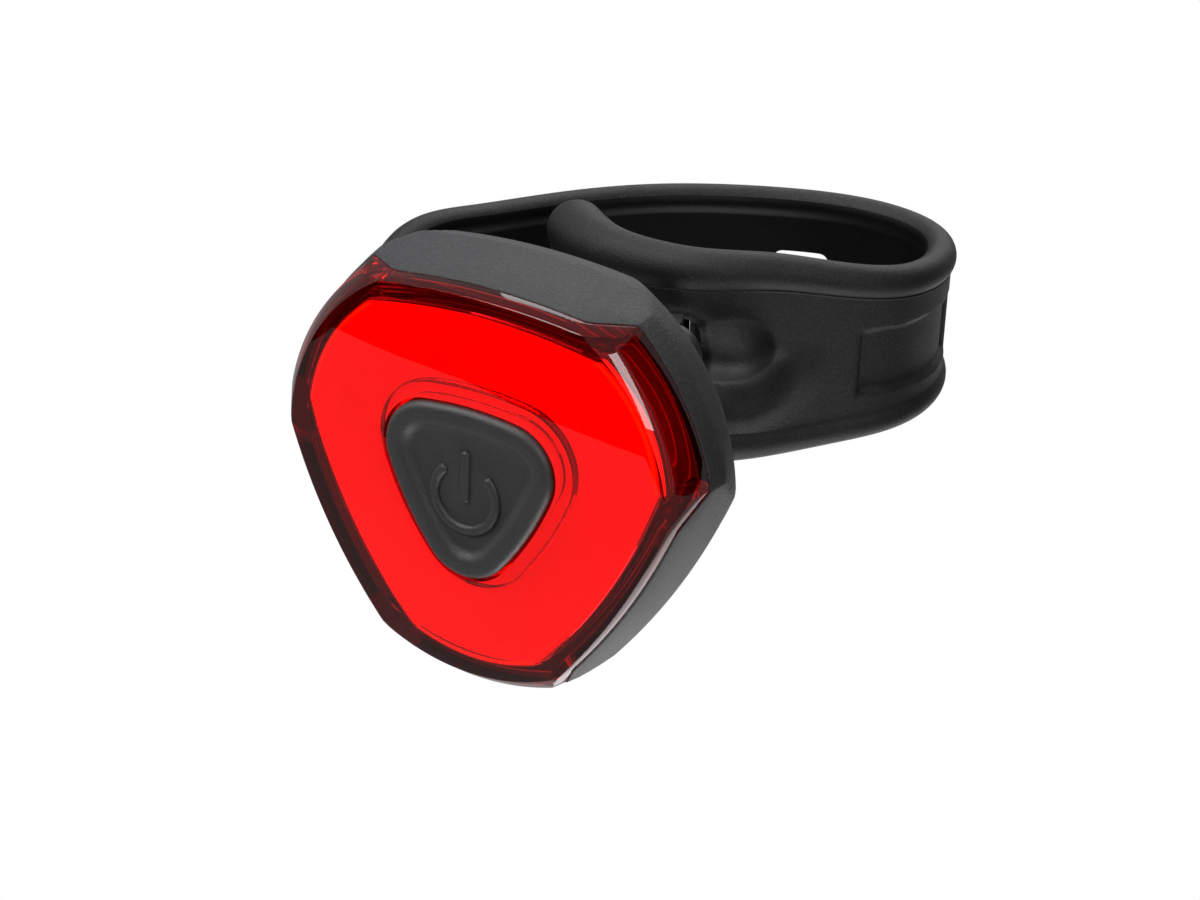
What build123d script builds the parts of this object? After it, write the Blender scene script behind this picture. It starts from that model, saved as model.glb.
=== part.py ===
from build123d import *
import math
import os

# Place of the lamp on the bicycle: the seat post's axis is the origin, the lamp looks along -Y
POST_TO_FACE = 47.5
STRAP_RISE = 2.25

# Fits that several pieces share
SLIDE_GAP = 0.3
FIT_GAP = 0.1
PIN_GAP = 0.06
CUT_OVERRUN = 20.0

# Lens: a crowned, three-cornered hexagon whose corner sides wrap back into the housing
LONG_SIDE = 28.0
SHORT_SIDE = 16.0
LONG_BULGE = 1.5
SHORT_BULGE = 1.3
LENS_APEX = -1.9
LENS_CROWN_RADIUS = 180.0
LENS_FACE_THICKNESS = 1.8
LENS_WALL = 2.3
LENS_END = 5.4
RIDGE_DEPTH = -1.2
RIDGE_GROWTH = -0.25
BODY_DRAFT = 0.16
CORNER_BEVEL_INNER_RADIUS = 20.9
CORNER_BEVEL_WIDTH = 1.4
CORNER_BEVEL_FRONT = -0.6
CORNER_BEVEL_DEPTH = 1.9
SLEEVE_WALL = 1.1
SLEEVE_END = 3.0

# Seam between lens and housing: it steps back at the three corner windows
SEAM_DEPTH = 1.3
WINDOW_SEAM_DEPTH = 4.0
WINDOW_END_RUN = 2.5

# Power button
BUTTON_CORNER_REACH = 9.85
BUTTON_CORNER_ROUND = 4.9
BUTTON_SIDE_BULGE = 0.35
BUTTON_FRONT = -2.2
BUTTON_EDGE_ROUND = 0.6
BUTTON_WALL = 1.6
BUTTON_TOP_THICKNESS = 1.6
BUTTON_DISH_INSET = 1.6
BUTTON_DISH_SLOPE = 1.0
BUTTON_DISH_DEPTH = 0.45
BUTTON_FLANGE_REACH = 1.2
BUTTON_FLANGE_THICKNESS = 0.7
BUTTON_STEM_RADIUS = 1.9
BUTTON_TRAVEL = 0.5

# Diffuser
DIFFUSER_FRONT = 1.3
DIFFUSER_THICKNESS = 1.3
DIFFUSER_WALL = 1.0
DIFFUSER_CORNER_ROUND = 2.4
DIFFUSER_RIM_WIDTH = 0.8
DIFFUSER_RIM_RISE = 0.4

# Housing
HOUSING_PROUD = 0.1
HOUSING_WALL = 1.4
HOUSING_BACK = 10.9
HOUSING_FLOOR = 1.6
HOUSING_FACET_DEPTH = 6.2
HOUSING_WIDEST_DEPTH = 8.8
HOUSING_WIDEST_BULGE = 0.5
HOUSING_BACK_DROP = 0.8
HOUSING_BACK_BULGE = 0.05
HOUSING_CORNER_RADIUS = 23.6
HOUSING_CORNER_DEPTH = 5.2
HOUSING_WIDEST_RADIUS = 22.9
HOUSING_BACK_RADIUS = 21.6
BOARD_LEDGE_WIDTH = 1.5

# Circuit board and what is soldered to it
BOARD_FRONT = 6.0
BOARD_THICKNESS = 1.2
LED_SIDE = 2.2
LED_HEIGHT = 0.8
LED_WINDOW_RADIUS = 0.8
LED_WINDOW_DEPTH = 0.3
LED_CIRCLE_RADIUS = 15.2
LED_SPREAD_DEGREES = 26.0
SWITCH_SIDE = 6.0
SWITCH_HEIGHT = 3.4
PLUNGER_RADIUS = 1.7
PLUNGER_RISE = 0.6
PLUNGER_SEAT = 0.8
CHIP_CIRCLE_RADIUS = 14.3
CHIP_LENGTH = 4.0
CHIP_WIDTH = 3.0
CHIP_HEIGHT = 1.1
RESISTOR_LENGTH = 1.6
RESISTOR_WIDTH = 0.8
RESISTOR_HEIGHT = 0.5
RESISTOR_PITCH = 1.7
RESISTOR_COUNT = 4

# Coin cells, their holder and the two sprung contacts
CELL_RADIUS = 10.0
CELL_THICKNESS = 3.2
CELL_CAP_RADIUS = 8.9
CELL_CAP_STEP = 0.3
CELL_GAP = 0.2
HOLDER_WALL = 1.2
HOLDER_FLOOR = 0.8
HOLDER_WINDOW_RADIUS = 6.5
CONTACT_THICKNESS = 0.2
CONTACT_WIDTH = 4.0
CONTACT_LENGTH = 9.0
CONTACT_BEND_SHARE = 0.33

# Rear cover
COVER_INSET = 2.5
COVER_FLANGE_THICKNESS = 1.8
COVER_CUP_WALL = 1.4
COVER_CUP_FLOOR = 2.4
COVER_CELL_ROOM = 1.2
COVER_SEAL_GAP = 0.8
COVER_SEAL_WIDTH = 1.3
COVER_SEAL_HEIGHT = 1.0

# Screws
SCREW_RADIUS = 0.9
SCREW_HEAD_RADIUS = 1.6
SCREW_HEAD_HEIGHT = 0.9
SCREW_RECESS_RADIUS = 0.8
SCREW_RECESS_DEPTH = 0.5
SCREW_TIP_ROOM = 0.3
COVER_SCREW_CIRCLE = 16.2
COVER_SCREW_LENGTH = 4.8
COVER_BOSS_RADIUS = 2.1
BOARD_SCREW_CIRCLE = 13.4
BOARD_SCREW_LENGTH = 3.6
BOARD_BOSS_RADIUS = 1.6
BRACKET_SCREW_SPACING = 10.0
BRACKET_SCREW_LENGTH = 4.4

# Bracket with the strap's pin and hook
BRACKET_PLATE_THICKNESS = 2.6
BRACKET_PLATE_WIDTH = 25.0
BRACKET_PLATE_HEIGHT = 17.0
BRACKET_CORNER_ROUND = 3.0
LUG_THICKNESS = 2.2
LUG_RADIUS = 3.1
PIN_RADIUS = 1.5
PIN_OFFSET = 18.2
PIN_HEAD_RADIUS = 2.2
PIN_HEAD_HEIGHT = 0.8
HOOK_WIDTH = 2.6
HOOK_HEIGHT = 4.8
HOOK_BEYOND_HOLE_DEGREES = 9.6
HOOK_ROOT_HEIGHT = 11.0
HOOK_ROOT_DEGREES = 22.0

# Strap: one silicone moulding that goes round the seat post and back to the hook
LOOP_WIDTH = 46.7
EYE_ACROSS_SHARE = 0.434
EYE_DEPTH_SHARE = 0.887
EYE_RADIUS = 3.3
EYE_HEIGHT = 11.0
STRAP_RISE_AT_TAB = 10.25
STRAP_RISE_FAR = 6.25
STRAP_DROP_AT_TAB = 13.25
STRAP_DROP_FAR = 9.25
BEAD_AT_TAB = 5.4
BEAD_FAR = 3.2
WEB_AT_TAB = 4.0
WEB_FAR = 2.3
WEB_LIMIT_SHARE = 0.98
HOLE_LENGTH = 7.6
HOLE_HEIGHT = 6.4
HOLE_ROUND = 1.6
FAR_HOLE_LENGTH = 6.0
FAR_HOLE_HEIGHT = 5.0
FAR_HOLE_DROP = 3.0
FAR_HOLE_ROUND = 1.0
PANEL_DEPTH = 0.6
PANEL_REACH = 4.0
BUMP_LENGTH = 7.4
BUMP_HEIGHT = 6.4
BUMP_RISE = 1.6

# Route of the strap's middle line in plan, from its eye round the post to the thumb tab,
# as shares of the loop's width and depth measured from the post's axis
STRAP_ROUTE_SHARES = [
    (-EYE_ACROSS_SHARE, -EYE_DEPTH_SHARE),
    (-0.500, -0.878),
    (-0.538, -0.780),
    (-0.535, -0.600),
    (-0.495, -0.390),
    (-0.400, -0.070),
    (-0.270, 0.200),
    (-0.120, 0.400),
    (0.040, 0.530),
    (0.210, 0.566),
    (0.372, 0.468),
    (0.452, 0.250),
    (0.434, 0.020),
    (0.343, -0.140),
    (0.225, -0.270),
    (0.094, -0.403),
    (-0.020, -0.434),
    (-0.120, -0.415),
    (-0.200, -0.355),
    (-0.262, -0.285),
    (-0.302, -0.226),
]

# Cross-sections along the strap: share of its length, then how far the rise and drop of its
# edges, its beads and its web have gone from their far values to their values at the tab
STRAP_SECTION_SHARES = [
    (0.000, -0.20, -0.95, 0.00, 0.40),
    (0.030, -0.05, -0.80, 0.00, 0.20),
    (0.075, 0.50, -0.45, 0.00, 0.00),
    (0.150, 0.48, -0.175, 0.00, 0.00),
    (0.235, 0.27, -0.05, 0.00, 0.00),
    (0.330, 0.14, 0.00, 0.00, 0.00),
    (0.430, 0.00, 0.00, 0.00, 0.00),
    (0.530, 0.05, 0.00, 0.00, 0.00),
    (0.610, 0.16, 0.17, 0.05, 0.05),
    (0.675, 0.31, 0.31, 0.12, 0.12),
    (0.735, 0.60, 0.55, 0.22, 0.30),
    (0.785, 0.86, 0.875, 0.36, 0.45),
    (0.832, 0.975, 1.00, 0.55, 0.60),
    (0.882, 1.00, 1.00, 0.76, 0.75),
    (0.931, 1.00, 1.00, 0.92, 1.00),
    (0.980, 1.00, 1.00, 1.00, 1.60),
]
TAB_END_TURNS = (35, 60, 78)
HOOK_HOLE_SHARE = 0.866
BUMP_SHARE = 0.810
PANEL_SHARES = (0.600, 0.622, 0.644, 0.666, 0.688)
FAR_HOLE_SHARE = 0.443

CORNER_ANGLES = (30, 150, 270)
SIDE_ANGLES = (90, 210, 330)
CHIP_ANGLE = 180
RESISTOR_ANGLE = 60
CONTACT_ANGLE = 0

# Depths that follow from the stack of pieces
BOARD_BACK = BOARD_FRONT + BOARD_THICKNESS
HOUSING_INNER_BACK = HOUSING_BACK - HOUSING_FLOOR
CELLS_FRONT = BOARD_BACK + HOLDER_FLOOR
CELLS_BACK = CELLS_FRONT + 2 * CELL_THICKNESS
COVER_FLANGE_BACK = HOUSING_BACK + COVER_FLANGE_THICKNESS
COVER_CUP_FLOOR_FRONT = CELLS_BACK + COVER_CELL_ROOM
COVER_BACK = COVER_CUP_FLOOR_FRONT + COVER_CUP_FLOOR
BRACKET_BACK = COVER_BACK + BRACKET_PLATE_THICKNESS
PIN_DEPTH = COVER_BACK + BRACKET_PLATE_THICKNESS / 2
LOOP_DEPTH = (POST_TO_FACE - PIN_DEPTH) / EYE_DEPTH_SHARE
BUTTON_FLANGE_FRONT = SLEEVE_END + FIT_GAP
SWITCH_FRONT = BOARD_FRONT - SWITCH_HEIGHT
PLUNGER_FRONT = SWITCH_FRONT - PLUNGER_RISE

# Radii that follow from them
HOLDER_INNER_RADIUS = CELL_RADIUS + CELL_GAP
HOLDER_OUTER_RADIUS = HOLDER_INNER_RADIUS + HOLDER_WALL
CUP_INNER_RADIUS = HOLDER_OUTER_RADIUS + CELL_GAP
CUP_OUTER_RADIUS = CUP_INNER_RADIUS + COVER_CUP_WALL
HOUSING_INNER_GROWTH = RIDGE_GROWTH + BODY_DRAFT * (SEAM_DEPTH - RIDGE_DEPTH) + HOUSING_PROUD - HOUSING_WALL


def slab(profile, front, back):
    """Prism of a profile seen from the front, between two depths."""
    return extrude(Plane.XZ.offset(-front) * profile, -(back - front))


def rod(radius, front, back, across=0.0, up=0.0):
    """Round bar along the depth axis."""
    return slab(Pos(across, up) * Circle(radius), front, back)


def turned(points):
    """Solid of revolution about the lamp's own axis, from points given as radius and depth."""
    return revolve(make_face(Polyline(*points, close=True)), Axis.Y)


def polar(radius, degrees):
    angle = math.radians(degrees)
    return (radius * math.cos(angle), radius * math.sin(angle))


def joined(solids):
    """One node made of several separate solids."""
    return Compound(children=[solid for group in solids for solid in group.solids()])


def bulged_face(corners, bulges):
    """Closed outline through its corners, each side an arc that stands out by its bulge."""
    sides = []
    for index, start in enumerate(corners):
        end = corners[(index + 1) % len(corners)]
        middle = Vector((start[0] + end[0]) / 2, (start[1] + end[1]) / 2)
        sides.append(ThreePointArc(start, middle + middle.normalized() * bulges[index], end))
    return make_face(sides)


def corner_reach():
    """Distance from the lamp's axis to the flat of a short corner side."""
    return (SHORT_SIDE + 2 * LONG_SIDE) * math.sqrt(3) / 6


def growth_at(depth):
    """How far the drafted sides stand out from the lens's outline at a depth."""
    return RIDGE_GROWTH + BODY_DRAFT * (depth - RIDGE_DEPTH)


def lens_outline(growth=0.0, corner_bulge=SHORT_BULGE):
    """The lens seen from the front, grown or shrunk evenly, its corner sides more or less bowed."""
    half_turn = math.degrees(math.atan2(SHORT_SIDE / 2, corner_reach()))
    radius = math.hypot(corner_reach(), SHORT_SIDE / 2)
    corners = []
    for angle in CORNER_ANGLES:
        corners += [polar(radius, angle - half_turn), polar(radius, angle + half_turn)]
    face = bulged_face(corners, [corner_bulge, LONG_BULGE] * 3)
    if growth == 0:
        return face
    return offset(face, amount=growth, kind=Kind.INTERSECTION)


def button_outline(growth=0.0):
    """Rounded triangle of the power button, its points towards the corner sides."""
    reach = BUTTON_CORNER_REACH - BUTTON_CORNER_ROUND
    core = bulged_face([polar(reach, angle) for angle in CORNER_ANGLES], [BUTTON_SIDE_BULGE] * 3)
    return offset(core, amount=BUTTON_CORNER_ROUND + growth, kind=Kind.ARC)


def in_front_of_seam():
    """Everything in front of the seam, which steps back at the three corner windows."""
    half = SHORT_SIDE / 2
    profile = make_face(
        Polyline(
            (-half - WINDOW_END_RUN, -CUT_OVERRUN),
            (half + WINDOW_END_RUN, -CUT_OVERRUN),
            (half + WINDOW_END_RUN, SEAM_DEPTH),
            (half, WINDOW_SEAM_DEPTH),
            (-half, WINDOW_SEAM_DEPTH),
            (-half - WINDOW_END_RUN, SEAM_DEPTH),
            close=True,
        )
    )
    ahead = slab(Circle(2 * LONG_SIDE), -CUT_OVERRUN, SEAM_DEPTH)
    for angle in CORNER_ANGLES:
        across, up = polar(1, angle)
        window = Plane(origin=(0, 0, 0), x_dir=(up, 0, -across), z_dir=(across, 0, up))
        ahead += extrude(window * profile, 2 * LONG_SIDE)
    return ahead


def crown(apex):
    """Space behind a crowned face whose middle lies at the given depth."""
    return Pos(0, apex + LENS_CROWN_RADIUS, 0) * Sphere(LENS_CROWN_RADIUS)


def corner_bevel(inset, shift):
    """Space inside the cone that bevels the corner sides, moved in and back."""
    ahead = CUT_OVERRUN / 2
    behind = CORNER_BEVEL_DEPTH + CUT_OVERRUN
    slope = CORNER_BEVEL_WIDTH / CORNER_BEVEL_DEPTH
    front = CORNER_BEVEL_FRONT + shift - ahead
    back = CORNER_BEVEL_FRONT + shift + behind
    front_radius = CORNER_BEVEL_INNER_RADIUS - inset - slope * ahead
    back_radius = CORNER_BEVEL_INNER_RADIUS - inset + slope * behind
    return turned([(0, front), (front_radius, front), (back_radius, back), (0, back)])


def lens_hollow(gap=0.0):
    """Space inside the lens, less a gap all round."""
    space = slab(lens_outline(-LENS_WALL - gap), -CUT_OVERRUN, CUT_OVERRUN)
    bevel_inset = LENS_WALL + gap
    space = space & crown(LENS_APEX + LENS_FACE_THICKNESS + gap)
    return space & corner_bevel(bevel_inset, LENS_FACE_THICKNESS / 2)


def drafted(stations):
    """Solid through outlines at several depths, each with its extra growth and corner bulge."""
    solid = None
    for near, far in zip(stations, stations[1:]):
        faces = []
        for depth, extra, corner_bulge in (near, far):
            faces.append(Plane.XZ.offset(-depth) * lens_outline(growth_at(depth) + extra, corner_bulge))
        section = loft(faces)
        solid = section if solid is None else solid + section
    return solid


def make_lens():
    """Red cap: crowned face, bevelled corner sides, skirt inside the housing, button sleeve."""
    shell = drafted([(-LENS_END, 0, SHORT_BULGE), (LENS_END, 0, SHORT_BULGE)])
    shell = shell & crown(LENS_APEX) & corner_bevel(0, 0)
    shell -= lens_hollow()
    skirt_growth = HOUSING_INNER_GROWTH - FIT_GAP
    collar = slab(lens_outline(CUT_OVERRUN), -CUT_OVERRUN, CUT_OVERRUN)
    collar -= slab(lens_outline(skirt_growth), -CUT_OVERRUN, CUT_OVERRUN)
    shell -= collar - in_front_of_seam()
    sleeve = slab(button_outline(SLIDE_GAP + SLEEVE_WALL), -CUT_OVERRUN, SLEEVE_END)
    shell += sleeve & crown(LENS_APEX)
    return shell - slab(button_outline(SLIDE_GAP), -CUT_OVERRUN, CUT_OVERRUN)


def make_lens_seal():
    """Flat rubber ring that the lens's skirt presses on the edge of the board."""
    outer = HOUSING_INNER_GROWTH - FIT_GAP
    ring = lens_outline(outer) - lens_outline(-LENS_WALL)
    return slab(ring, LENS_END, BOARD_FRONT)


def make_button():
    """Soft-touch cap: dished triangle, hollow skirt, retaining flange and stem."""
    back = BUTTON_FLANGE_FRONT + BUTTON_FLANGE_THICKNESS
    cap = slab(button_outline(), BUTTON_FRONT, back)
    cap = fillet(cap.faces().sort_by(Axis.Y)[0].edges(), BUTTON_EDGE_ROUND)
    rim = Plane.XZ.offset(-BUTTON_FRONT) * button_outline(-BUTTON_DISH_INSET)
    dish_depth = BUTTON_FRONT + BUTTON_DISH_DEPTH
    floor = Plane.XZ.offset(-dish_depth) * button_outline(-BUTTON_DISH_INSET - BUTTON_DISH_SLOPE)
    cap -= loft([rim, floor])
    cap += slab(button_outline(BUTTON_FLANGE_REACH), BUTTON_FLANGE_FRONT, back)
    inner_front = BUTTON_FRONT + BUTTON_TOP_THICKNESS
    cap -= slab(button_outline(-BUTTON_WALL), inner_front, CUT_OVERRUN)
    return cap + rod(BUTTON_STEM_RADIUS, inner_front, PLUNGER_FRONT - FIT_GAP)


def diffuser_face(growth):
    face = lens_outline(-LENS_WALL - SLIDE_GAP - growth)
    return fillet(face.vertices(), DIFFUSER_CORNER_ROUND)


def make_diffuser():
    """Light spreader: ring-shaped plate with a raised rim, on two walls that stand on the board."""
    opening = button_outline(SLIDE_GAP + SLEEVE_WALL + SLIDE_GAP)
    inner_wall = button_outline(SLIDE_GAP + SLEEVE_WALL + SLIDE_GAP + DIFFUSER_WALL)
    plate_back = DIFFUSER_FRONT + DIFFUSER_THICKNESS
    solid = slab(diffuser_face(0), DIFFUSER_FRONT - DIFFUSER_RIM_RISE, BOARD_FRONT)
    solid -= slab(diffuser_face(DIFFUSER_RIM_WIDTH), -CUT_OVERRUN, DIFFUSER_FRONT)
    solid -= slab(diffuser_face(DIFFUSER_WALL), plate_back, CUT_OVERRUN)
    solid += slab(inner_wall, DIFFUSER_FRONT, BOARD_FRONT)
    solid -= slab(opening, -CUT_OVERRUN, CUT_OVERRUN)
    return solid & lens_hollow(FIT_GAP)


def housing_limit():
    """Space that trims the six vertices of the housing towards its back."""
    return turned(
        [
            (0, -CUT_OVERRUN),
            (HOUSING_CORNER_RADIUS, -CUT_OVERRUN),
            (HOUSING_CORNER_RADIUS, HOUSING_CORNER_DEPTH),
            (HOUSING_WIDEST_RADIUS, HOUSING_WIDEST_DEPTH),
            (HOUSING_BACK_RADIUS, HOUSING_BACK),
            (0, HOUSING_BACK),
        ]
    )


def screw_holes(circle, angles, front, back):
    """Clearance holes round the lamp's axis."""
    holes = [rod(SCREW_RADIUS + FIT_GAP, front, back, *polar(circle, angle)) for angle in angles]
    return Compound(children=holes)


def make_housing():
    """Grey tub: thin walls, board ledge, floor with the cell opening, and six screw bosses."""
    tub = drafted(
        [
            (SEAM_DEPTH, HOUSING_PROUD, SHORT_BULGE),
            (HOUSING_FACET_DEPTH, HOUSING_PROUD, SHORT_BULGE),
            (HOUSING_WIDEST_DEPTH, HOUSING_PROUD, HOUSING_WIDEST_BULGE),
            (HOUSING_BACK, HOUSING_PROUD - HOUSING_BACK_DROP, HOUSING_BACK_BULGE),
        ]
    )
    tub = (tub & housing_limit()) - in_front_of_seam()
    tub -= slab(lens_outline(HOUSING_INNER_GROWTH), -CUT_OVERRUN, BOARD_BACK)
    ledge_growth = HOUSING_INNER_GROWTH - BOARD_LEDGE_WIDTH
    tub -= slab(lens_outline(ledge_growth, HOUSING_BACK_BULGE), -CUT_OVERRUN, HOUSING_INNER_BACK)
    for angle in CORNER_ANGLES:
        tub += rod(COVER_BOSS_RADIUS, BOARD_BACK, HOUSING_BACK, *polar(COVER_SCREW_CIRCLE, angle))
    for angle in SIDE_ANGLES:
        tub += rod(BOARD_BOSS_RADIUS, BOARD_BACK, HOUSING_BACK, *polar(BOARD_SCREW_CIRCLE, angle))
    tub -= rod(CUP_INNER_RADIUS, HOUSING_INNER_BACK - CUT_OVERRUN, HOUSING_BACK + CUT_OVERRUN)
    cover_tip = COVER_FLANGE_BACK - COVER_SCREW_LENGTH - SCREW_TIP_ROOM
    board_tip = BOARD_FRONT + BOARD_SCREW_LENGTH + SCREW_TIP_ROOM
    tub -= screw_holes(COVER_SCREW_CIRCLE, CORNER_ANGLES, cover_tip, HOUSING_BACK)
    return tub - screw_holes(BOARD_SCREW_CIRCLE, SIDE_ANGLES, BOARD_BACK, board_tip)


def make_board():
    """Circuit board that rests on the housing's ledge and bosses."""
    board = slab(lens_outline(HOUSING_INNER_GROWTH - SLIDE_GAP), BOARD_FRONT, BOARD_BACK)
    return board - screw_holes(BOARD_SCREW_CIRCLE, SIDE_ANGLES, BOARD_FRONT, BOARD_BACK)


def led_places():
    for angle in CORNER_ANGLES:
        for step in (-1, 0, 1):
            yield angle + step * LED_SPREAD_DEGREES


def make_leds():
    """Nine square light-emitting diodes, three behind each corner side."""
    leds = []
    for angle in led_places():
        place = polar(LED_CIRCLE_RADIUS, angle)
        outline = Pos(*place) * Rot(0, 0, angle) * Rectangle(LED_SIDE, LED_SIDE)
        front = BOARD_FRONT - LED_HEIGHT
        window = rod(LED_WINDOW_RADIUS, front, front + LED_WINDOW_DEPTH, *place)
        leds.append(slab(outline, front, BOARD_FRONT) - window)
    return joined(leds)


def make_switch():
    """Tactile switch body in the middle of the board, with the pocket of its plunger."""
    body = slab(Rectangle(SWITCH_SIDE, SWITCH_SIDE), SWITCH_FRONT, BOARD_FRONT)
    pocket_back = SWITCH_FRONT + PLUNGER_SEAT + BUTTON_TRAVEL + SLIDE_GAP
    return body - rod(PLUNGER_RADIUS + PIN_GAP, SWITCH_FRONT, pocket_back)


def make_plunger():
    """Round plunger of the tactile switch."""
    return rod(PLUNGER_RADIUS, PLUNGER_FRONT, SWITCH_FRONT + PLUNGER_SEAT)


def make_chip():
    """Driver chip on the back of the board."""
    place = Pos(*polar(CHIP_CIRCLE_RADIUS, CHIP_ANGLE))
    return slab(place * Rectangle(CHIP_WIDTH, CHIP_LENGTH), BOARD_BACK, BOARD_BACK + CHIP_HEIGHT)


def make_resistors():
    """Row of four small resistors on the back of the board."""
    parts = []
    turn = Pos(*polar(CHIP_CIRCLE_RADIUS, RESISTOR_ANGLE)) * Rot(0, 0, RESISTOR_ANGLE)
    for index in range(RESISTOR_COUNT):
        step = index - (RESISTOR_COUNT - 1) / 2
        face = turn * Pos(0, step * RESISTOR_PITCH) * Rectangle(RESISTOR_LENGTH, RESISTOR_WIDTH)
        parts.append(slab(face, BOARD_BACK, BOARD_BACK + RESISTOR_HEIGHT))
    return joined(parts)


def make_holder():
    """Open ring that holds the two cells, with a floor window and a slot for the contact."""
    ring = rod(HOLDER_OUTER_RADIUS, BOARD_BACK, CELLS_BACK)
    ring -= rod(HOLDER_INNER_RADIUS, CELLS_FRONT, CELLS_BACK)
    ring -= rod(HOLDER_WINDOW_RADIUS, BOARD_BACK, CELLS_FRONT)
    slot = Pos(HOLDER_OUTER_RADIUS, 0) * Rectangle(2 * (HOLDER_WALL + CELL_GAP), CONTACT_WIDTH + 2 * CELL_GAP)
    return ring - slab(slot, BOARD_BACK, CELLS_BACK)


def make_cell(front):
    """Coin cell: a can with the smaller cap of its negative side in front."""
    can = rod(CELL_RADIUS, front + CELL_CAP_STEP, front + CELL_THICKNESS)
    return can + rod(CELL_CAP_RADIUS, front, front + CELL_CAP_STEP)


def make_negative_contact():
    """Sprung strip: soldered to the board at one end, bent up to the front cell."""
    half = CONTACT_LENGTH / 2
    bend = half * CONTACT_BEND_SHARE
    rise = CELLS_FRONT - BOARD_BACK
    profile = Polyline(
        (-half, BOARD_BACK),
        (-bend, BOARD_BACK),
        (bend, BOARD_BACK + rise - CONTACT_THICKNESS),
        (half, BOARD_BACK + rise - CONTACT_THICKNESS),
        (half, BOARD_BACK + rise),
        (bend - CONTACT_THICKNESS, BOARD_BACK + rise),
        (-bend - CONTACT_THICKNESS, BOARD_BACK + CONTACT_THICKNESS),
        (-half, BOARD_BACK + CONTACT_THICKNESS),
        close=True,
    )
    return extrude(make_face(profile), CONTACT_WIDTH / 2, both=True)


def make_positive_contact():
    """Strip that stands on the board beside the cells and folds over the rear one."""
    outside = HOLDER_INNER_RADIUS + CONTACT_THICKNESS
    tip = CELL_RADIUS - CONTACT_LENGTH / 2
    profile = Polyline(
        (HOLDER_INNER_RADIUS, BOARD_BACK),
        (outside, BOARD_BACK),
        (outside, CELLS_BACK + CONTACT_THICKNESS),
        (tip, CELLS_BACK + CONTACT_THICKNESS),
        (tip, CELLS_BACK),
        (HOLDER_INNER_RADIUS, CELLS_BACK),
        close=True,
    )
    return extrude(make_face(profile), CONTACT_WIDTH / 2, both=True)


def seal_groove_radii():
    inner = CUP_INNER_RADIUS + COVER_SEAL_GAP
    return inner, inner + COVER_SEAL_WIDTH


def make_cover():
    """Rear cover: flange on the housing's back and a cup over the cells."""
    cover = slab(lens_outline(-COVER_INSET), HOUSING_BACK, COVER_FLANGE_BACK)
    cover += rod(CUP_OUTER_RADIUS, HOUSING_BACK, COVER_BACK)
    cover -= rod(CUP_INNER_RADIUS, HOUSING_BACK, COVER_CUP_FLOOR_FRONT)
    inner, outer = seal_groove_radii()
    cover -= slab(Circle(outer) - Circle(inner), HOUSING_BACK, HOUSING_BACK + COVER_SEAL_HEIGHT)
    cover -= screw_holes(COVER_SCREW_CIRCLE, CORNER_ANGLES, HOUSING_BACK, COVER_FLANGE_BACK)
    tip = BRACKET_BACK - BRACKET_SCREW_LENGTH - SCREW_TIP_ROOM
    return cover - bracket_screw_holes(tip, COVER_BACK)


def make_cover_seal():
    """Rubber ring in the groove of the rear cover."""
    inner, outer = seal_groove_radii()
    return slab(Circle(outer) - Circle(inner), HOUSING_BACK, HOUSING_BACK + COVER_SEAL_HEIGHT)


def make_screw(seat, length, across, up):
    """Pan-head screw that points forward from its seat, or back where its length is negative."""
    way = math.copysign(1, length)
    head_end = seat + way * SCREW_HEAD_HEIGHT
    recess_end = head_end - way * SCREW_RECESS_DEPTH
    shank = rod(SCREW_RADIUS, min(seat, seat - length), max(seat, seat - length), across, up)
    head = rod(SCREW_HEAD_RADIUS, min(seat, head_end), max(seat, head_end), across, up)
    recess = rod(SCREW_RECESS_RADIUS, min(recess_end, head_end), max(recess_end, head_end), across, up)
    return shank + head - recess


def make_cover_screws():
    """Three screws through the cover's flange into the housing."""
    places = [polar(COVER_SCREW_CIRCLE, angle) for angle in CORNER_ANGLES]
    return joined([make_screw(COVER_FLANGE_BACK, COVER_SCREW_LENGTH, *place) for place in places])


def make_board_screws():
    """Three screws through the board into the housing."""
    places = [polar(BOARD_SCREW_CIRCLE, angle) for angle in SIDE_ANGLES]
    return joined([make_screw(BOARD_FRONT, -BOARD_SCREW_LENGTH, *place) for place in places])


def bracket_screw_places():
    return [(0, STRAP_RISE + side * BRACKET_SCREW_SPACING / 2) for side in (-1, 1)]


def bracket_screw_holes(front, back):
    holes = [rod(SCREW_RADIUS + FIT_GAP, front, back, *place) for place in bracket_screw_places()]
    return Compound(children=holes)


def make_bracket_screws():
    """Two screws through the bracket's plate into the rear cover."""
    places = bracket_screw_places()
    return joined([make_screw(BRACKET_BACK, BRACKET_SCREW_LENGTH, *place) for place in places])


def upright(profile, low, high):
    """Prism of a profile seen from above, between two heights about the strap's middle."""
    return Pos(0, 0, STRAP_RISE + low) * extrude(profile, high - low)


def arc_bar(radius, width, start_degrees, end_degrees):
    """Plan of a curved bar about the strap's pin."""
    outer = radius + width / 2
    inner = radius - width / 2
    middle_degrees = (start_degrees + end_degrees) / 2
    bar = make_face(
        [
            ThreePointArc(*(polar(outer, angle) for angle in (start_degrees, middle_degrees, end_degrees))),
            Line(polar(outer, end_degrees), polar(inner, end_degrees)),
            ThreePointArc(*(polar(inner, angle) for angle in (end_degrees, middle_degrees, start_degrees))),
            Line(polar(inner, start_degrees), polar(outer, start_degrees)),
        ]
    )
    return Pos(-PIN_OFFSET, PIN_DEPTH) * bar


def hook_hole_place():
    """Distance and direction of the middle of the strap's hook hole from the pin, in plan."""
    hole = strap_route() @ HOOK_HOLE_SHARE
    across = hole.X + PIN_OFFSET
    depth = hole.Y - PIN_DEPTH
    return math.hypot(across, depth), math.degrees(math.atan2(depth, across))


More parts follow.
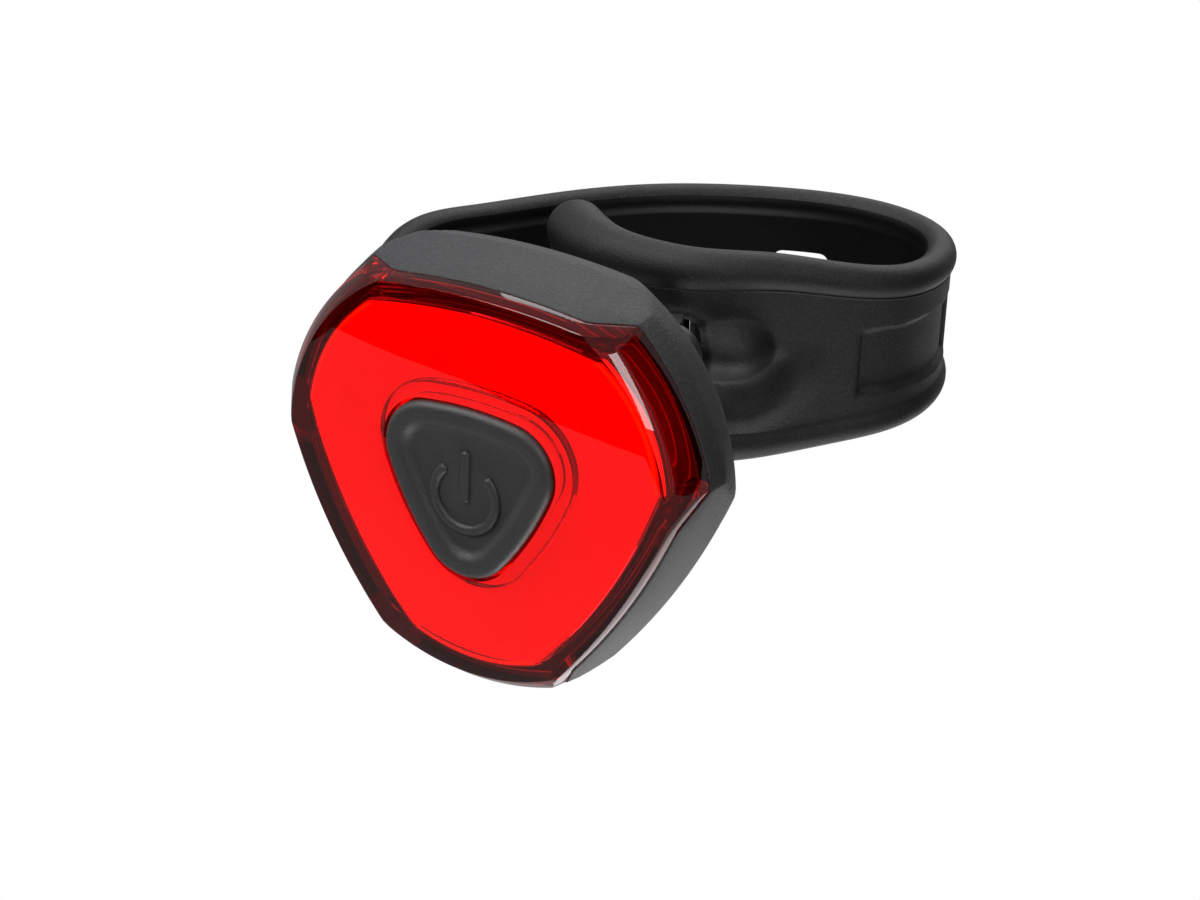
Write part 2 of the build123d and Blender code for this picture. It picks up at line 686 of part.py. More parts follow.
def make_bracket():
    """Plate on the rear cover with two lugs for the pin and a hook that leans to them."""
    plate = RectangleRounded(BRACKET_PLATE_WIDTH, BRACKET_PLATE_HEIGHT, BRACKET_CORNER_ROUND)
    bracket = slab(Pos(0, STRAP_RISE) * plate, COVER_BACK, BRACKET_BACK)
    arm_length = PIN_OFFSET - BRACKET_PLATE_WIDTH / 2 + BRACKET_CORNER_ROUND
    arm = Pos(-PIN_OFFSET + arm_length / 2, PIN_DEPTH) * Rectangle(arm_length, BRACKET_PLATE_THICKNESS)
    lug = arm + Pos(-PIN_OFFSET, PIN_DEPTH) * Circle(LUG_RADIUS)
    lug_face = EYE_HEIGHT / 2 + SLIDE_GAP
    bracket += upright(lug, lug_face, lug_face + LUG_THICKNESS)
    bracket += upright(lug, -lug_face - LUG_THICKNESS, -lug_face)
    radius, hole_degrees = hook_hole_place()
    root = arc_bar(radius, HOOK_WIDTH, 0, HOOK_ROOT_DEGREES)
    bracket += upright(root, -HOOK_ROOT_HEIGHT / 2, HOOK_ROOT_HEIGHT / 2)
    tip_degrees = hole_degrees + HOOK_BEYOND_HOLE_DEGREES
    hook = arc_bar(radius, HOOK_WIDTH, 0, tip_degrees)
    tip_place = polar(radius, tip_degrees)
    hook += Pos(tip_place[0] - PIN_OFFSET, tip_place[1] + PIN_DEPTH) * Circle(HOOK_WIDTH / 2)
    bracket += upright(hook, -HOOK_HEIGHT / 2, HOOK_HEIGHT / 2)
    bore = Pos(-PIN_OFFSET, PIN_DEPTH) * Circle(PIN_RADIUS + PIN_GAP)
    bracket -= upright(bore, -BRACKET_PLATE_HEIGHT, BRACKET_PLATE_HEIGHT)
    return bracket - bracket_screw_holes(COVER_BACK, BRACKET_BACK)


def make_pin():
    """Steel pin through the lugs and the strap's eye, with a head at each end."""
    reach = EYE_HEIGHT / 2 + SLIDE_GAP + LUG_THICKNESS
    place = Pos(-PIN_OFFSET, PIN_DEPTH)
    pin = upright(place * Circle(PIN_RADIUS), -reach, reach)
    pin += upright(place * Circle(PIN_HEAD_RADIUS), reach, reach + PIN_HEAD_HEIGHT)
    return pin + upright(place * Circle(PIN_HEAD_RADIUS), -reach - PIN_HEAD_HEIGHT, -reach)


def strap_route():
    """Middle line of the strap at half its height."""
    points = []
    for across_share, depth_share in STRAP_ROUTE_SHARES:
        points.append((across_share * LOOP_WIDTH, POST_TO_FACE + depth_share * LOOP_DEPTH, STRAP_RISE))
    return Spline(*points)


def strap_plane(route, share):
    """Plane across the strap: X points out of the loop and Y points up."""
    along = route % share
    return Plane(origin=route @ share, x_dir=(-along.Y, along.X, 0), z_dir=along)


def strap_size(share, column, far_size, tab_size):
    """Rise, drop, bead or web at a share of the strap's length, read between its cross-sections."""
    gone = STRAP_SECTION_SHARES[-1][column]
    for before, after in zip(STRAP_SECTION_SHARES, STRAP_SECTION_SHARES[1:]):
        if before[0] <= share <= after[0]:
            mix = (share - before[0]) / (after[0] - before[0])
            gone = before[column] + mix * (after[column] - before[column])
            break
    return far_size + gone * (tab_size - far_size)


def strap_sizes(share):
    rise = strap_size(share, 1, STRAP_RISE_FAR, STRAP_RISE_AT_TAB)
    drop = strap_size(share, 2, STRAP_DROP_FAR, STRAP_DROP_AT_TAB)
    bead = strap_size(share, 3, BEAD_FAR, BEAD_AT_TAB)
    web = min(strap_size(share, 4, WEB_FAR, WEB_AT_TAB), bead * WEB_LIMIT_SHARE)
    return rise, drop, bead, web


def dog_bone(rise, drop, bead, web):
    """Cross-section with a round bead above and below a thinner web."""
    radius = bead / 2
    half_web = web / 2
    neck = radius + math.sqrt(radius**2 - half_web**2)
    return make_face(
        [
            ThreePointArc((half_web, rise - neck), (0, rise), (-half_web, rise - neck)),
            Line((-half_web, rise - neck), (-half_web, neck - drop)),
            ThreePointArc((-half_web, neck - drop), (0, -drop), (half_web, neck - drop)),
            Line((half_web, neck - drop), (half_web, rise - neck)),
        ]
    )


def strap_band(route):
    """The band itself, its beads running out to a rounded end at the thumb tab."""
    shares = [entry[0] for entry in STRAP_SECTION_SHARES]
    sections = [strap_plane(route, share) * dog_bone(*strap_sizes(share)) for share in shares]
    rise, drop, bead, web = strap_sizes(1)
    for turn in TAB_END_TURNS:
        slim = math.cos(math.radians(turn))
        less = bead / 2 * (1 - slim)
        share = shares[-1] + (1 - shares[-1]) * math.sin(math.radians(turn))
        end = dog_bone(rise - less, drop - less, bead * slim, web * slim)
        sections.append(strap_plane(route, share) * end)
    return loft(sections)


def panel_cutter(route):
    """Space of the shallow panel in the outer face where the strap turns back."""
    sections = []
    for share in PANEL_SHARES:
        web = strap_sizes(share)[3]
        middle = web / 2 - PANEL_DEPTH + PANEL_REACH / 2
        sections.append(strap_plane(route, share) * Pos(middle, 0) * Rectangle(PANEL_REACH, HOLE_HEIGHT))
    return loft(sections)


def make_strap():
    """Beaded band with an eye, a hooked hole beside a finger bump, a panel and a second hole."""
    route = strap_route()
    strap = strap_band(route) - panel_cutter(route)
    eye = Pos(-PIN_OFFSET, PIN_DEPTH)
    strap += upright(eye * Circle(EYE_RADIUS), -EYE_HEIGHT / 2, EYE_HEIGHT / 2)
    strap -= upright(eye * Circle(PIN_RADIUS + PIN_GAP), -EYE_HEIGHT, EYE_HEIGHT)
    bump_web = strap_sizes(BUMP_SHARE)[3]
    bump = scale(Sphere(BUMP_RISE), by=(1, BUMP_HEIGHT / 2 / BUMP_RISE, BUMP_LENGTH / 2 / BUMP_RISE))
    strap += strap_plane(route, BUMP_SHARE) * Pos(bump_web / 2, 0, 0) * bump
    hole = RectangleRounded(HOLE_LENGTH, HOLE_HEIGHT, HOLE_ROUND)
    strap -= through(route, HOOK_HOLE_SHARE, hole)
    far_hole = Pos(0, -FAR_HOLE_DROP) * RectangleRounded(FAR_HOLE_LENGTH, FAR_HOLE_HEIGHT, FAR_HOLE_ROUND)
    return strap - through(route, FAR_HOLE_SHARE, far_hole)


def through(route, share, profile):
    """Cutter that goes square through the strap, its profile's length along the strap."""
    across = strap_plane(route, share)
    facing = Plane(origin=across.origin, x_dir=-across.z_dir, z_dir=across.x_dir)
    return extrude(facing * profile, BEAD_AT_TAB, both=True)


def place(part):
    """Move a part from the lamp's own frame to the seat post's frame."""
    return Pos(0, -POST_TO_FACE, -STRAP_RISE) * part


PIECES = {
    "lens": make_lens,
    "lens_seal": make_lens_seal,
    "power_button": make_button,
    "diffuser": make_diffuser,
    "housing": make_housing,
    "circuit_board": make_board,
    "leds": make_leds,
    "tact_switch": make_switch,
    "switch_plunger": make_plunger,
    "driver_chip": make_chip,
    "resistors": make_resistors,
    "board_screws": make_board_screws,
    "cell_holder": make_holder,
    "cell_front": lambda: make_cell(CELLS_FRONT),
    "cell_rear": lambda: make_cell(CELLS_FRONT + CELL_THICKNESS),
    "contact_negative": make_negative_contact,
    "contact_positive": make_positive_contact,
    "rear_cover": make_cover,
    "cover_seal": make_cover_seal,
    "cover_screws": make_cover_screws,
    "mount_bracket": make_bracket,
    "bracket_screws": make_bracket_screws,
    "strap_pin": make_pin,
    "strap": make_strap,
}

os.makedirs("parts", exist_ok=True)
for name, make in PIECES.items():
    export_step(place(make()), f"parts/{name}.step")
    print("wrote", name)
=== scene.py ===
import math

import bmesh
import bpy
from mathutils import Matrix, Vector


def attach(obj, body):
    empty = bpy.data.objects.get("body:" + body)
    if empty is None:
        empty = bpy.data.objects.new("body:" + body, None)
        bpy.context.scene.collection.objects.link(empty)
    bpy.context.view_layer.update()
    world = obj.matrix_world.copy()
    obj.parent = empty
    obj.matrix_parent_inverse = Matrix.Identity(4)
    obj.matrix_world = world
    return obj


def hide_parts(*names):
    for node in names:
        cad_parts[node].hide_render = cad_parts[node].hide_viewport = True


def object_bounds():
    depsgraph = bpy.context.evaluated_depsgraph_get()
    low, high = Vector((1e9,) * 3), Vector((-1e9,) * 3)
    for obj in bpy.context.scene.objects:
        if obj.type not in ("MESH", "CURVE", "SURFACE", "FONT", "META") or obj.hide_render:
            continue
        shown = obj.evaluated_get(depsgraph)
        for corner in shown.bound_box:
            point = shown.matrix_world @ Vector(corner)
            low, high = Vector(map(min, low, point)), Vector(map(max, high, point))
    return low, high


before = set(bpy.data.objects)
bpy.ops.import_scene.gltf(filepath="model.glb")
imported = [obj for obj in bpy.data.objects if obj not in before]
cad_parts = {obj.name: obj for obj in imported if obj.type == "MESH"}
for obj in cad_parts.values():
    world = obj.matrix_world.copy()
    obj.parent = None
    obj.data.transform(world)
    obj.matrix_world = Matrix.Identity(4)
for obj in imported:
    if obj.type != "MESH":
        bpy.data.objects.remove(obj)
cad_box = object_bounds()
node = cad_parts

# Camera
# The lamp is seen from its right and from a little above through a long lens, so the face of the
# red cap shows nearly square and the loop of the strap opens out behind it.
MM = 0.001
LAMP_CENTRE = Vector((0, -47.5, -2.25)) * MM
camera_azimuth = math.radians(29.2)
camera_elevation = math.radians(26.21)
camera_roll = math.radians(2.38)
camera_distance = 310.6 * MM
picture_shift = (11.57 * MM, 2.61 * MM)
focal_length = 99.0

level_right = Vector((math.cos(camera_azimuth), math.sin(camera_azimuth), 0))
to_camera = Vector(
    (
        math.sin(camera_azimuth) * math.cos(camera_elevation),
        -math.cos(camera_azimuth) * math.cos(camera_elevation),
        math.sin(camera_elevation),
    )
)
level_up = to_camera.cross(level_right)
picture_right = level_right * math.cos(camera_roll) + level_up * math.sin(camera_roll)
picture_up = level_up * math.cos(camera_roll) - level_right * math.sin(camera_roll)

camera = bpy.data.objects.new("camera", bpy.data.cameras.new("camera"))
bpy.context.collection.objects.link(camera)
camera.location = LAMP_CENTRE + to_camera * camera_distance
camera.location += picture_right * picture_shift[0] + picture_up * picture_shift[1]
camera.rotation_euler = Matrix((picture_right, picture_up, to_camera)).transposed().to_euler()
camera.data.lens = focal_length
camera.data.clip_start = 0.01
camera.data.clip_end = 10
bpy.context.scene.camera = camera
bpy.context.scene.view_settings.view_transform = "Standard"


# Studio
# A white floor lies well below the lamp. A black card stands in front and the red cap mirrors its
# lower edge, a second one at the right keeps that side dark, and soft boxes light it.
SEEN_SHARES = {"Is Glossy Ray": 0.24, "Is Transmission Ray": 0.4}
FLOOR_HEIGHT = -0.5
FLOOR_REACH = 3.0
CARD_TOP = 0.5
FRONT_CARD_Y = -0.2975
FRONT_CARD_CORNERS = [(-0.7, -0.15), (-0.15, -0.093), (0.12, -0.108), (0.12, CARD_TOP), (-0.7, CARD_TOP)]
RIGHT_CARD_X = 0.4
RIGHT_CARD_CORNERS = [(-0.12, -0.06), (0.45, -0.06), (0.45, CARD_TOP), (-0.12, CARD_TOP)]


def make_node(tree, kind, values):
    """New node of a tree, with the values of its named inputs."""
    made = tree.nodes.new(kind)
    for name, value in values.items():
        made.inputs[name].default_value = value
    return made


def wire(tree, *links):
    """Join nodes, each link given as a node, its output, the next node and its input."""
    for source, output, target, entry in links:
        tree.links.new(source.outputs[output], target.inputs[entry])


def new_material(name, values):
    """New material, its tree and its shader, on which the constant values are set."""
    material = bpy.data.materials.new(name)
    material.use_nodes = True
    shader = material.node_tree.nodes["Principled BSDF"]
    for entry, value in values.items():
        shader.inputs[entry].default_value = value
    return material, material.node_tree, shader


def mottled(tree, scale, first, second, detail=2):
    """Noise on the piece's own coordinates, and a ramp of two colours that follows it."""
    place = tree.nodes.new("ShaderNodeTexCoord")
    noise = make_node(tree, "ShaderNodeTexNoise", {"Scale": scale, "Detail": detail})
    ramp = tree.nodes.new("ShaderNodeValToRGB")
    for stop, colour in zip(ramp.color_ramp.elements, (first, second)):
        stop.color = (*colour, 1)
    wire(tree, (place, "Object", noise, "Vector"), (noise, "Fac", ramp, "Fac"))
    return noise, ramp


def white_where_seen(tree, plain, white, output):
    """Show a white shader to the camera, dimmer in mirrors and through glass, and else a plain one."""
    path = tree.nodes.new("ShaderNodeLightPath")
    share = path.outputs["Is Camera Ray"]
    for ray, strength in SEEN_SHARES.items():
        dimmed = tree.nodes.new("ShaderNodeMath")
        dimmed.operation = "MULTIPLY"
        dimmed.inputs[1].default_value = strength
        tree.links.new(path.outputs[ray], dimmed.inputs[0])
        larger = tree.nodes.new("ShaderNodeMath")
        larger.operation = "MAXIMUM"
        tree.links.new(share, larger.inputs[0])
        tree.links.new(dimmed.outputs[0], larger.inputs[1])
        share = larger.outputs[0]
    blend = tree.nodes.new("ShaderNodeMixShader")
    tree.links.new(share, blend.inputs["Fac"])
    wire(tree, (plain, 0, blend, 1), (white, 0, blend, 2), (blend, "Shader", tree.nodes[output], "Surface"))


def flat_card(name, corners, material):
    """Flat face of the studio, which isn't a piece of the light."""
    mesh = bpy.data.meshes.new(name)
    mesh.from_pydata([Vector(corner) for corner in corners], [], [tuple(range(len(corners)))])
    mesh.materials.append(material)
    card = bpy.data.objects.new(name, mesh)
    bpy.context.collection.objects.link(card)
    return card


white_floor, floor_tree, paper = new_material("white_floor", {"Roughness": 0.9, "Specular IOR Level": 0.2})
fibres = mottled(floor_tree, 900, (0.5, 0.5, 0.5), (0.56, 0.56, 0.56))[1]
wire(floor_tree, (fibres, "Color", paper, "Base Color"))
floor_glow = make_node(floor_tree, "ShaderNodeEmission", {"Color": (1, 1, 1, 1)})
white_where_seen(floor_tree, paper, floor_glow, "Material Output")
floor_corners = [(x * FLOOR_REACH, y * FLOOR_REACH) for x, y in ((-1, -1), (1, -1), (1, 1), (-1, 1))]
flat_card("white_floor", [(x, y, FLOOR_HEIGHT) for x, y in floor_corners], white_floor)

black_card, card_tree, card_face = new_material("black_card", {"Roughness": 1.0, "Specular IOR Level": 0.0})
felt = mottled(card_tree, 300, (0.001, 0.001, 0.001), (0.004, 0.004, 0.004))[1]
wire(card_tree, (felt, "Color", card_face, "Base Color"))
for card in (
    flat_card("front_card", [(x, FRONT_CARD_Y, z) for x, z in FRONT_CARD_CORNERS], black_card),
    flat_card("right_card", [(RIGHT_CARD_X, y, z) for y, z in RIGHT_CARD_CORNERS], black_card),
):
    card.visible_camera = False
    card.visible_diffuse = False
    card.visible_transmission = False
    card.visible_shadow = False

world = bpy.data.worlds.new("studio")
bpy.context.scene.world = world
world.use_nodes = True
room = world.node_tree
dim_room = room.nodes["Background"]
dim_room.inputs["Color"].default_value = (0.9, 0.95, 1.0, 1)
dim_room.inputs["Strength"].default_value = 0.07
white_room = make_node(room, "ShaderNodeBackground", {"Color": (1, 1, 1, 1)})
white_where_seen(room, dim_room, white_room, "World Output")

# Each lamp looks at a point and has the brightness that its own face would show. The last three
# show in shiny and clear faces alone and light no dull one.
for name, place, aim, width, height, brightness, lights_dull_faces in (
    ("overhead_box", (-0.14, 0.0, 0.48), (0, 0, 0), 0.3, 0.24, 5.0, True),
    ("key_box", (-0.16, -0.44, 0.42), (0, -0.02, 0), 0.16, 0.14, 11.0, True),
    ("left_box", (-0.42, -0.2, 0.14), (0, -0.03, 0), 0.16, 0.2, 1.5, True),
    ("back_box", (-0.1, 0.5, 0.3), (0, 0, 0), 0.4, 0.24, 2.5, True),
    ("low_box", (0.16, -0.1, -0.44), (0, -0.03, 0), 0.2, 0.2, 7.0, True),
    ("ridge_strip", (-0.3, -0.27, 0.46), (0, -0.0475, 0), 0.24, 0.2, 9, False),
    ("bevel_strip", (0.3, -0.19, 0.22), (0, -0.0475, 0), 0.08, 0.24, 8, False),
    ("side_glow", (0.03, 0.3, -0.34), (0.015, -0.04, -0.01), 0.3, 0.3, 0.9, False),
):
    lamp = bpy.data.lights.new(name, "AREA")
    lamp.shape = "RECTANGLE"
    lamp.size = width
    lamp.size_y = height
    lamp.energy = brightness * math.pi * width * height
    box = bpy.data.objects.new(name, lamp)
    bpy.context.collection.objects.link(box)
    box.location = place
    box.rotation_euler = (Vector(aim) - Vector(place)).to_track_quat("-Z", "Y").to_euler()
    box.visible_camera = False
    box.visible_diffuse = lights_dull_faces


# Moulded grain
# Every plastic and rubber piece here comes out of a spark-eroded steel mould, which leaves a fine
# even grain on it, faint clouds in its colour and softened edges. The grain's highest peaks are
# painted a lighter colour, a painted sparkle of light on them.
def grain_group():
    """Grain with painted sparkle on its peaks, clouds and soft edges, as colour, roughness and normal."""
    group = bpy.data.node_groups.new("moulded_grain", "ShaderNodeTree")
    for name in ("Colour", "Painted Sparkle Colour"):
        group.interface.new_socket(name, in_out="INPUT", socket_type="NodeSocketColor")
    for name in ("Roughness", "Grain Scale", "Grain Depth", "Speckle", "Edge Radius"):
        group.interface.new_socket(name, in_out="INPUT", socket_type="NodeSocketFloat")
    for name, kind in (("Colour", "Color"), ("Roughness", "Float"), ("Normal", "Vector")):
        group.interface.new_socket(name, in_out="OUTPUT", socket_type="NodeSocket" + kind)
    entry = group.nodes.new("NodeGroupInput")
    leave = group.nodes.new("NodeGroupOutput")
    place = group.nodes.new("ShaderNodeTexCoord")
    grain = make_node(group, "ShaderNodeTexNoise", {"Detail": 4, "Roughness": 0.65})
    clouds = make_node(group, "ShaderNodeTexNoise", {"Scale": 120, "Detail": 3})
    softened = group.nodes.new("ShaderNodeBevel")
    softened.samples = 6
    bump = group.nodes.new("ShaderNodeBump")
    # Painted sparkle: the grain's highest peaks take a lighter colour, a painted highlight.
    sparkle = make_node(group, "ShaderNodeMapRange", {"From Min": 0.52, "From Max": 0.72})
    tint = group.nodes.new("ShaderNodeMix")
    tint.data_type = "RGBA"
    cloudy = make_node(group, "ShaderNodeMapRange", {"To Min": 0.88, "To Max": 1.12})
    shade = group.nodes.new("ShaderNodeVectorMath")
    shade.operation = "SCALE"
    gloss = group.nodes.new("ShaderNodeMath")
    gloss.operation = "MULTIPLY"
    wire(
        group,
        (place, "Object", grain, "Vector"),
        (entry, "Grain Scale", grain, "Scale"),
        (place, "Object", clouds, "Vector"),
        (entry, "Edge Radius", softened, "Radius"),
        (grain, "Fac", bump, "Height"),
        (entry, "Grain Depth", bump, "Distance"),
        (softened, "Normal", bump, "Normal"),
        (bump, "Normal", leave, "Normal"),
        (grain, "Fac", sparkle, "Value"),
        (entry, "Speckle", sparkle, "To Max"),
        (sparkle, "Result", tint, "Factor"),
        (entry, "Colour", tint, "A"),
        (entry, "Painted Sparkle Colour", tint, "B"),
        (clouds, "Fac", cloudy, "Value"),
        (tint, "Result", shade, "Vector"),
        (cloudy, "Result", shade, "Scale"),
        (shade, "Vector", leave, "Colour"),
        (entry, "Roughness", gloss, 0),
        (cloudy, "Result", gloss, 1),
        (gloss, "Value", leave, "Roughness"),
    )
    return group


moulded_grain = grain_group()


def moulded_material(name, colour, painted_sparkle, roughness, scale, depth, speckle, edge, shine=0.5):
    """Moulded plastic or rubber with a painted sparkle colour; the numbers from roughness to edge are its
    grain's.
    """
    material, tree, shader = new_material(name, {"Specular IOR Level": shine})
    grain = tree.nodes.new("ShaderNodeGroup")
    grain.node_tree = moulded_grain
    given = ((*colour, 1), (*painted_sparkle, 1), roughness, scale, depth, speckle, edge)
    for socket, value in zip(grain.inputs, given):
        socket.default_value = value
    wire(
        tree,
        (grain, "Colour", shader, "Base Color"),
        (grain, "Roughness", shader, "Roughness"),
        (grain, "Normal", shader, "Normal"),
    )
    return material


def dress(name, material):
    """Give a CAD node its material."""
    mesh = node[name].data
    mesh.materials.clear()
    mesh.materials.append(material)


# Outlines of the lamp
# The cap, the body and the ring inside all follow one outline: a hexagon of three long and three
# short bowed sides. Its sides lean outwards towards the back by the mould's draft.
LONG_SIDE = 28.0 * MM
SHORT_SIDE = 16.0 * MM
LONG_BULGE = 1.5 * MM
SHORT_BULGE = 1.3 * MM
RIDGE_DEPTH = -1.2 * MM
RIDGE_GROWTH = -0.25 * MM
BODY_DRAFT = 0.16
CORNER_ANGLES = (30, 150, 270)
POINTS_ON_SHORT_SIDE = 24
POINTS_ON_LONG_SIDE = 44
corner_reach = (SHORT_SIDE + 2 * LONG_SIDE) * math.sqrt(3) / 6


def growth_at(depth):
    """How far the outline has grown by the draft at a depth."""
    return RIDGE_GROWTH + BODY_DRAFT * (depth - RIDGE_DEPTH)


def bowed_side(start, end, bulge, count):
    """Points from start up to but not including end, along an arc that stands out by its bulge."""
    chord = end - start
    outward = Vector((chord.y, -chord.x)).normalized()
    half = chord.length / 2
    points = []
    for step in range(count):
        share = step / count
        along = (share - 0.5) * 2
        rise = bulge * (1 - along * along)
        points.append(start + chord * share + outward * rise)
    return points


def lamp_outline(growth, corner_bulge=SHORT_BULGE):
    """Closed ring of points round the lamp as X and Z, counted the same way for any growth."""
    reach = corner_reach + growth
    half_short = SHORT_SIDE / 2 + growth * math.tan(math.radians(30))
    points = []
    for index, angle in enumerate(CORNER_ANGLES):
        turn = Matrix.Rotation(math.radians(angle), 2)
        after = Matrix.Rotation(math.radians(CORNER_ANGLES[(index + 1) % 3]), 2)
        low = turn @ Vector((reach, -half_short))
        high = turn @ Vector((reach, half_short))
        beyond = after @ Vector((reach, -half_short))
        points += bowed_side(low, high, corner_bulge, POINTS_ON_SHORT_SIDE)
        points += bowed_side(high, beyond, LONG_BULGE, POINTS_ON_LONG_SIDE)
    return points


outline_at_rest = lamp_outline(0)
outline_grown = lamp_outline(1 * MM)


def lamp_outline_point(index, growth):
    """One point of the lamp's outline at any growth."""
    return outline_at_rest[index] + (outline_grown[index] - outline_at_rest[index]) * (growth / MM)


def at_depth(points, depth):
    """Ring of points at a depth behind the lamp's face plane; depth is a number or a function."""
    ring = []
    for index, point in enumerate(points):
        here = depth(index, point) if callable(depth) else depth
        ring.append(LAMP_CENTRE + Vector((point.x, here, point.y)))
    return ring


def ring_mesh(name, rings, closed=True):
    """Mesh of four-sided faces between rings of points; a closed one joins its last ring to its first."""
    count = len(rings[0])
    vertices = [point for ring in rings for point in ring]
    faces = []
    pairs = len(rings) if closed else len(rings) - 1
    for row in range(pairs):
        near = row * count
        far = (row + 1) % len(rings) * count
        for index in range(count):
            beside = (index + 1) % count
            faces.append((near + index, near + beside, far + beside, far + index))
    mesh = bpy.data.meshes.new(name)
    mesh.from_pydata(vertices, [], faces)
    return mesh


SAME_PLACE = 1e-7


def outward_faces(mesh):
    """Merge points at the same place and turn all the faces of a closed mesh outwards."""
    work = bmesh.new()
    work.from_mesh(mesh)
    bmesh.ops.remove_doubles(work, verts=work.verts, dist=SAME_PLACE)
    bmesh.ops.recalc_face_normals(work, faces=work.faces)
    work.to_mesh(mesh)
    work.free()


def piece_of(name, mesh, material, smooth_angle=30):
    """Object with its place in its mesh, smooth but for edges sharper than an angle."""
    mesh.materials.clear()
    mesh.materials.append(material)
    mesh.shade_smooth()
    mesh.set_sharp_from_angle(angle=math.radians(smooth_angle))
    piece = bpy.data.objects.new(name, mesh)
    bpy.context.collection.objects.link(piece)
    return piece


THINNEST_FACE = 0.012 * MM
EASED_ANGLE = 28
SHARP_ANGLE = 40


def finished(piece):
    """Turn a piece's modifiers into plain mesh, without the threadlike faces that they leave."""
    depsgraph = bpy.context.evaluated_depsgraph_get()
    mesh = bpy.data.meshes.new_from_object(piece.evaluated_get(depsgraph))
    work = bmesh.new()
    work.from_mesh(mesh)
    bmesh.ops.remove_doubles(work, verts=work.verts, dist=THINNEST_FACE)
    bmesh.ops.triangulate(work, faces=[face for face in work.faces if len(face.verts) > 4])
    bmesh.ops.dissolve_degenerate(work, dist=THINNEST_FACE, edges=work.edges)
    work.to_mesh(mesh)
    work.free()
    piece.modifiers.clear()
    piece.data = mesh


def smoothed(piece, sharp_angle):
    """Shade a piece smooth but for edges sharper than an angle."""
    piece.data.shade_smooth()
    piece.data.set_sharp_from_angle(angle=math.radians(sharp_angle))


def eased_edges(piece, width):
    """Round a piece's sharp edges as a mould does."""
    bevel = piece.modifiers.new("eased_edges", "BEVEL")
    bevel.width = width
    bevel.segments = 2
    bevel.limit_method = "ANGLE"
    bevel.angle_limit = math.radians(EASED_ANGLE)
    bevel.harden_normals = False
    finished(piece)
    smoothed(piece, SHARP_ANGLE)
    return piece


# Power button hole and cap outline
# The button is a rounded triangle whose points look at the short corner sides. The hole in the
# cap, the sleeve behind it and the ring round it all follow the same outline at a gap.
BUTTON_REACH = 9.85 * MM
BUTTON_ROUND = 4.9 * MM
BUTTON_BULGE = 0.35 * MM


def button_core():
    """Points of the triangle that the button's outline goes round at its corner radius."""
    corners = []
    for angle in CORNER_ANGLES:
        corners.append(Matrix.Rotation(math.radians(angle), 2) @ Vector((BUTTON_REACH - BUTTON_ROUND, 0)))
    core = []
    for index, corner in enumerate(corners):
        core += bowed_side(corner, corners[(index + 1) % 3], BUTTON_BULGE, 24)
    return core


def button_rays():
    """Reach of the button's core from its middle, straight towards each point of the outline."""
    core = button_core()
    rays = []
    for point in lamp_outline(0):
        way = point.normalized()
        low, high = 0.0, 0.02
        for _ in range(24):
            middle = (low + high) / 2
            spot = way * middle
            inside = min((spot - corner).length for corner in core) <= BUTTON_ROUND
            low, high = (middle, high) if inside or middle < BUTTON_ROUND else (low, middle)
        rays.append(way * low)
    return rays


button_ring = button_rays()


def button_outline(growth):
    """Ring of points of the button's outline, grown evenly."""
    count = len(button_ring)
    grown = []
    for index, point in enumerate(button_ring):
        along = button_ring[(index + 1) % count] - button_ring[index - 1]
        outward = Vector((along.y, -along.x)).normalized()
        grown.append(point + outward * growth)
    return grown


# Red cap
# One clear red acrylic moulding: a thick, slightly crowned face with a sharp ridge, bevelled
# corner sides that run back into three windows of the body, and a sleeve round the button.
LENS_APEX = -1.9 * MM
LENS_CROWN_RADIUS = 180.0 * MM
LENS_FACE_THICKNESS = 1.8 * MM
LENS_WALL = 2.1 * MM
LENS_END = 5.4 * MM
BEVEL_INNER_RADIUS = 20.9 * MM
BEVEL_OUTER_RADIUS = 22.3 * MM
BEVEL_FRONT = -0.6 * MM
BEVEL_BACK = 1.3 * MM
SEAM_DEPTH = 1.3 * MM
WINDOW_DEPTH = 4.0 * MM
WINDOW_END_RUN = 2.5 * MM
HOUSING_WALL = 1.4 * MM
HOUSING_PROUD = 0.1 * MM
SLIDE_GAP = 0.3 * MM
FIT_GAP = 0.1 * MM
SLEEVE_WALL = 1.1 * MM
SLEEVE_END = 1.25 * MM
SLEEVE_STEPS = (
    (0.3 * MM, 0.0),
    (0.42 * MM, 0.14 * MM),
    (0.6 * MM, 0.0),
    (0.72 * MM, 0.14 * MM),
    (0.95 * MM, 0.0),
)
CREASE_INSET = 0.25 * MM
INNER_CORNER_RISE = 0.4 * MM
INNER_FACE_INSET = 0.3 * MM
CAP_EDGE_ROUND = 0.18 * MM
inner_growth = growth_at(SEAM_DEPTH) + HOUSING_PROUD - HOUSING_WALL
bevel_slope = (BEVEL_BACK - BEVEL_FRONT) / (BEVEL_OUTER_RADIUS - BEVEL_INNER_RADIUS)


def face_depth(radius):
    """Depth of the cap's front at a distance from the middle: crown, then corner bevel."""
    crown = LENS_APEX + radius * radius / (2 * LENS_CROWN_RADIUS)
    bevel = BEVEL_FRONT + (radius - BEVEL_INNER_RADIUS) * bevel_slope
    return max(crown, bevel)


def back_face_depth(radius):
    """Depth of the back of the cap's face at a distance from the middle."""
    crown = LENS_APEX + LENS_FACE_THICKNESS + radius * radius / (2 * LENS_CROWN_RADIUS)
    beyond = radius + LENS_WALL - BEVEL_INNER_RADIUS
    bevel = BEVEL_FRONT + LENS_FACE_THICKNESS / 2 + beyond * bevel_slope
    return max(crown, bevel)


def window_offset(point, angle):
    """Sideways distance of a point from the middle of a corner side, large on the far side."""
    turned = Matrix.Rotation(-math.radians(angle), 2) @ point
    return turned.y if turned.x > 0 else LONG_SIDE


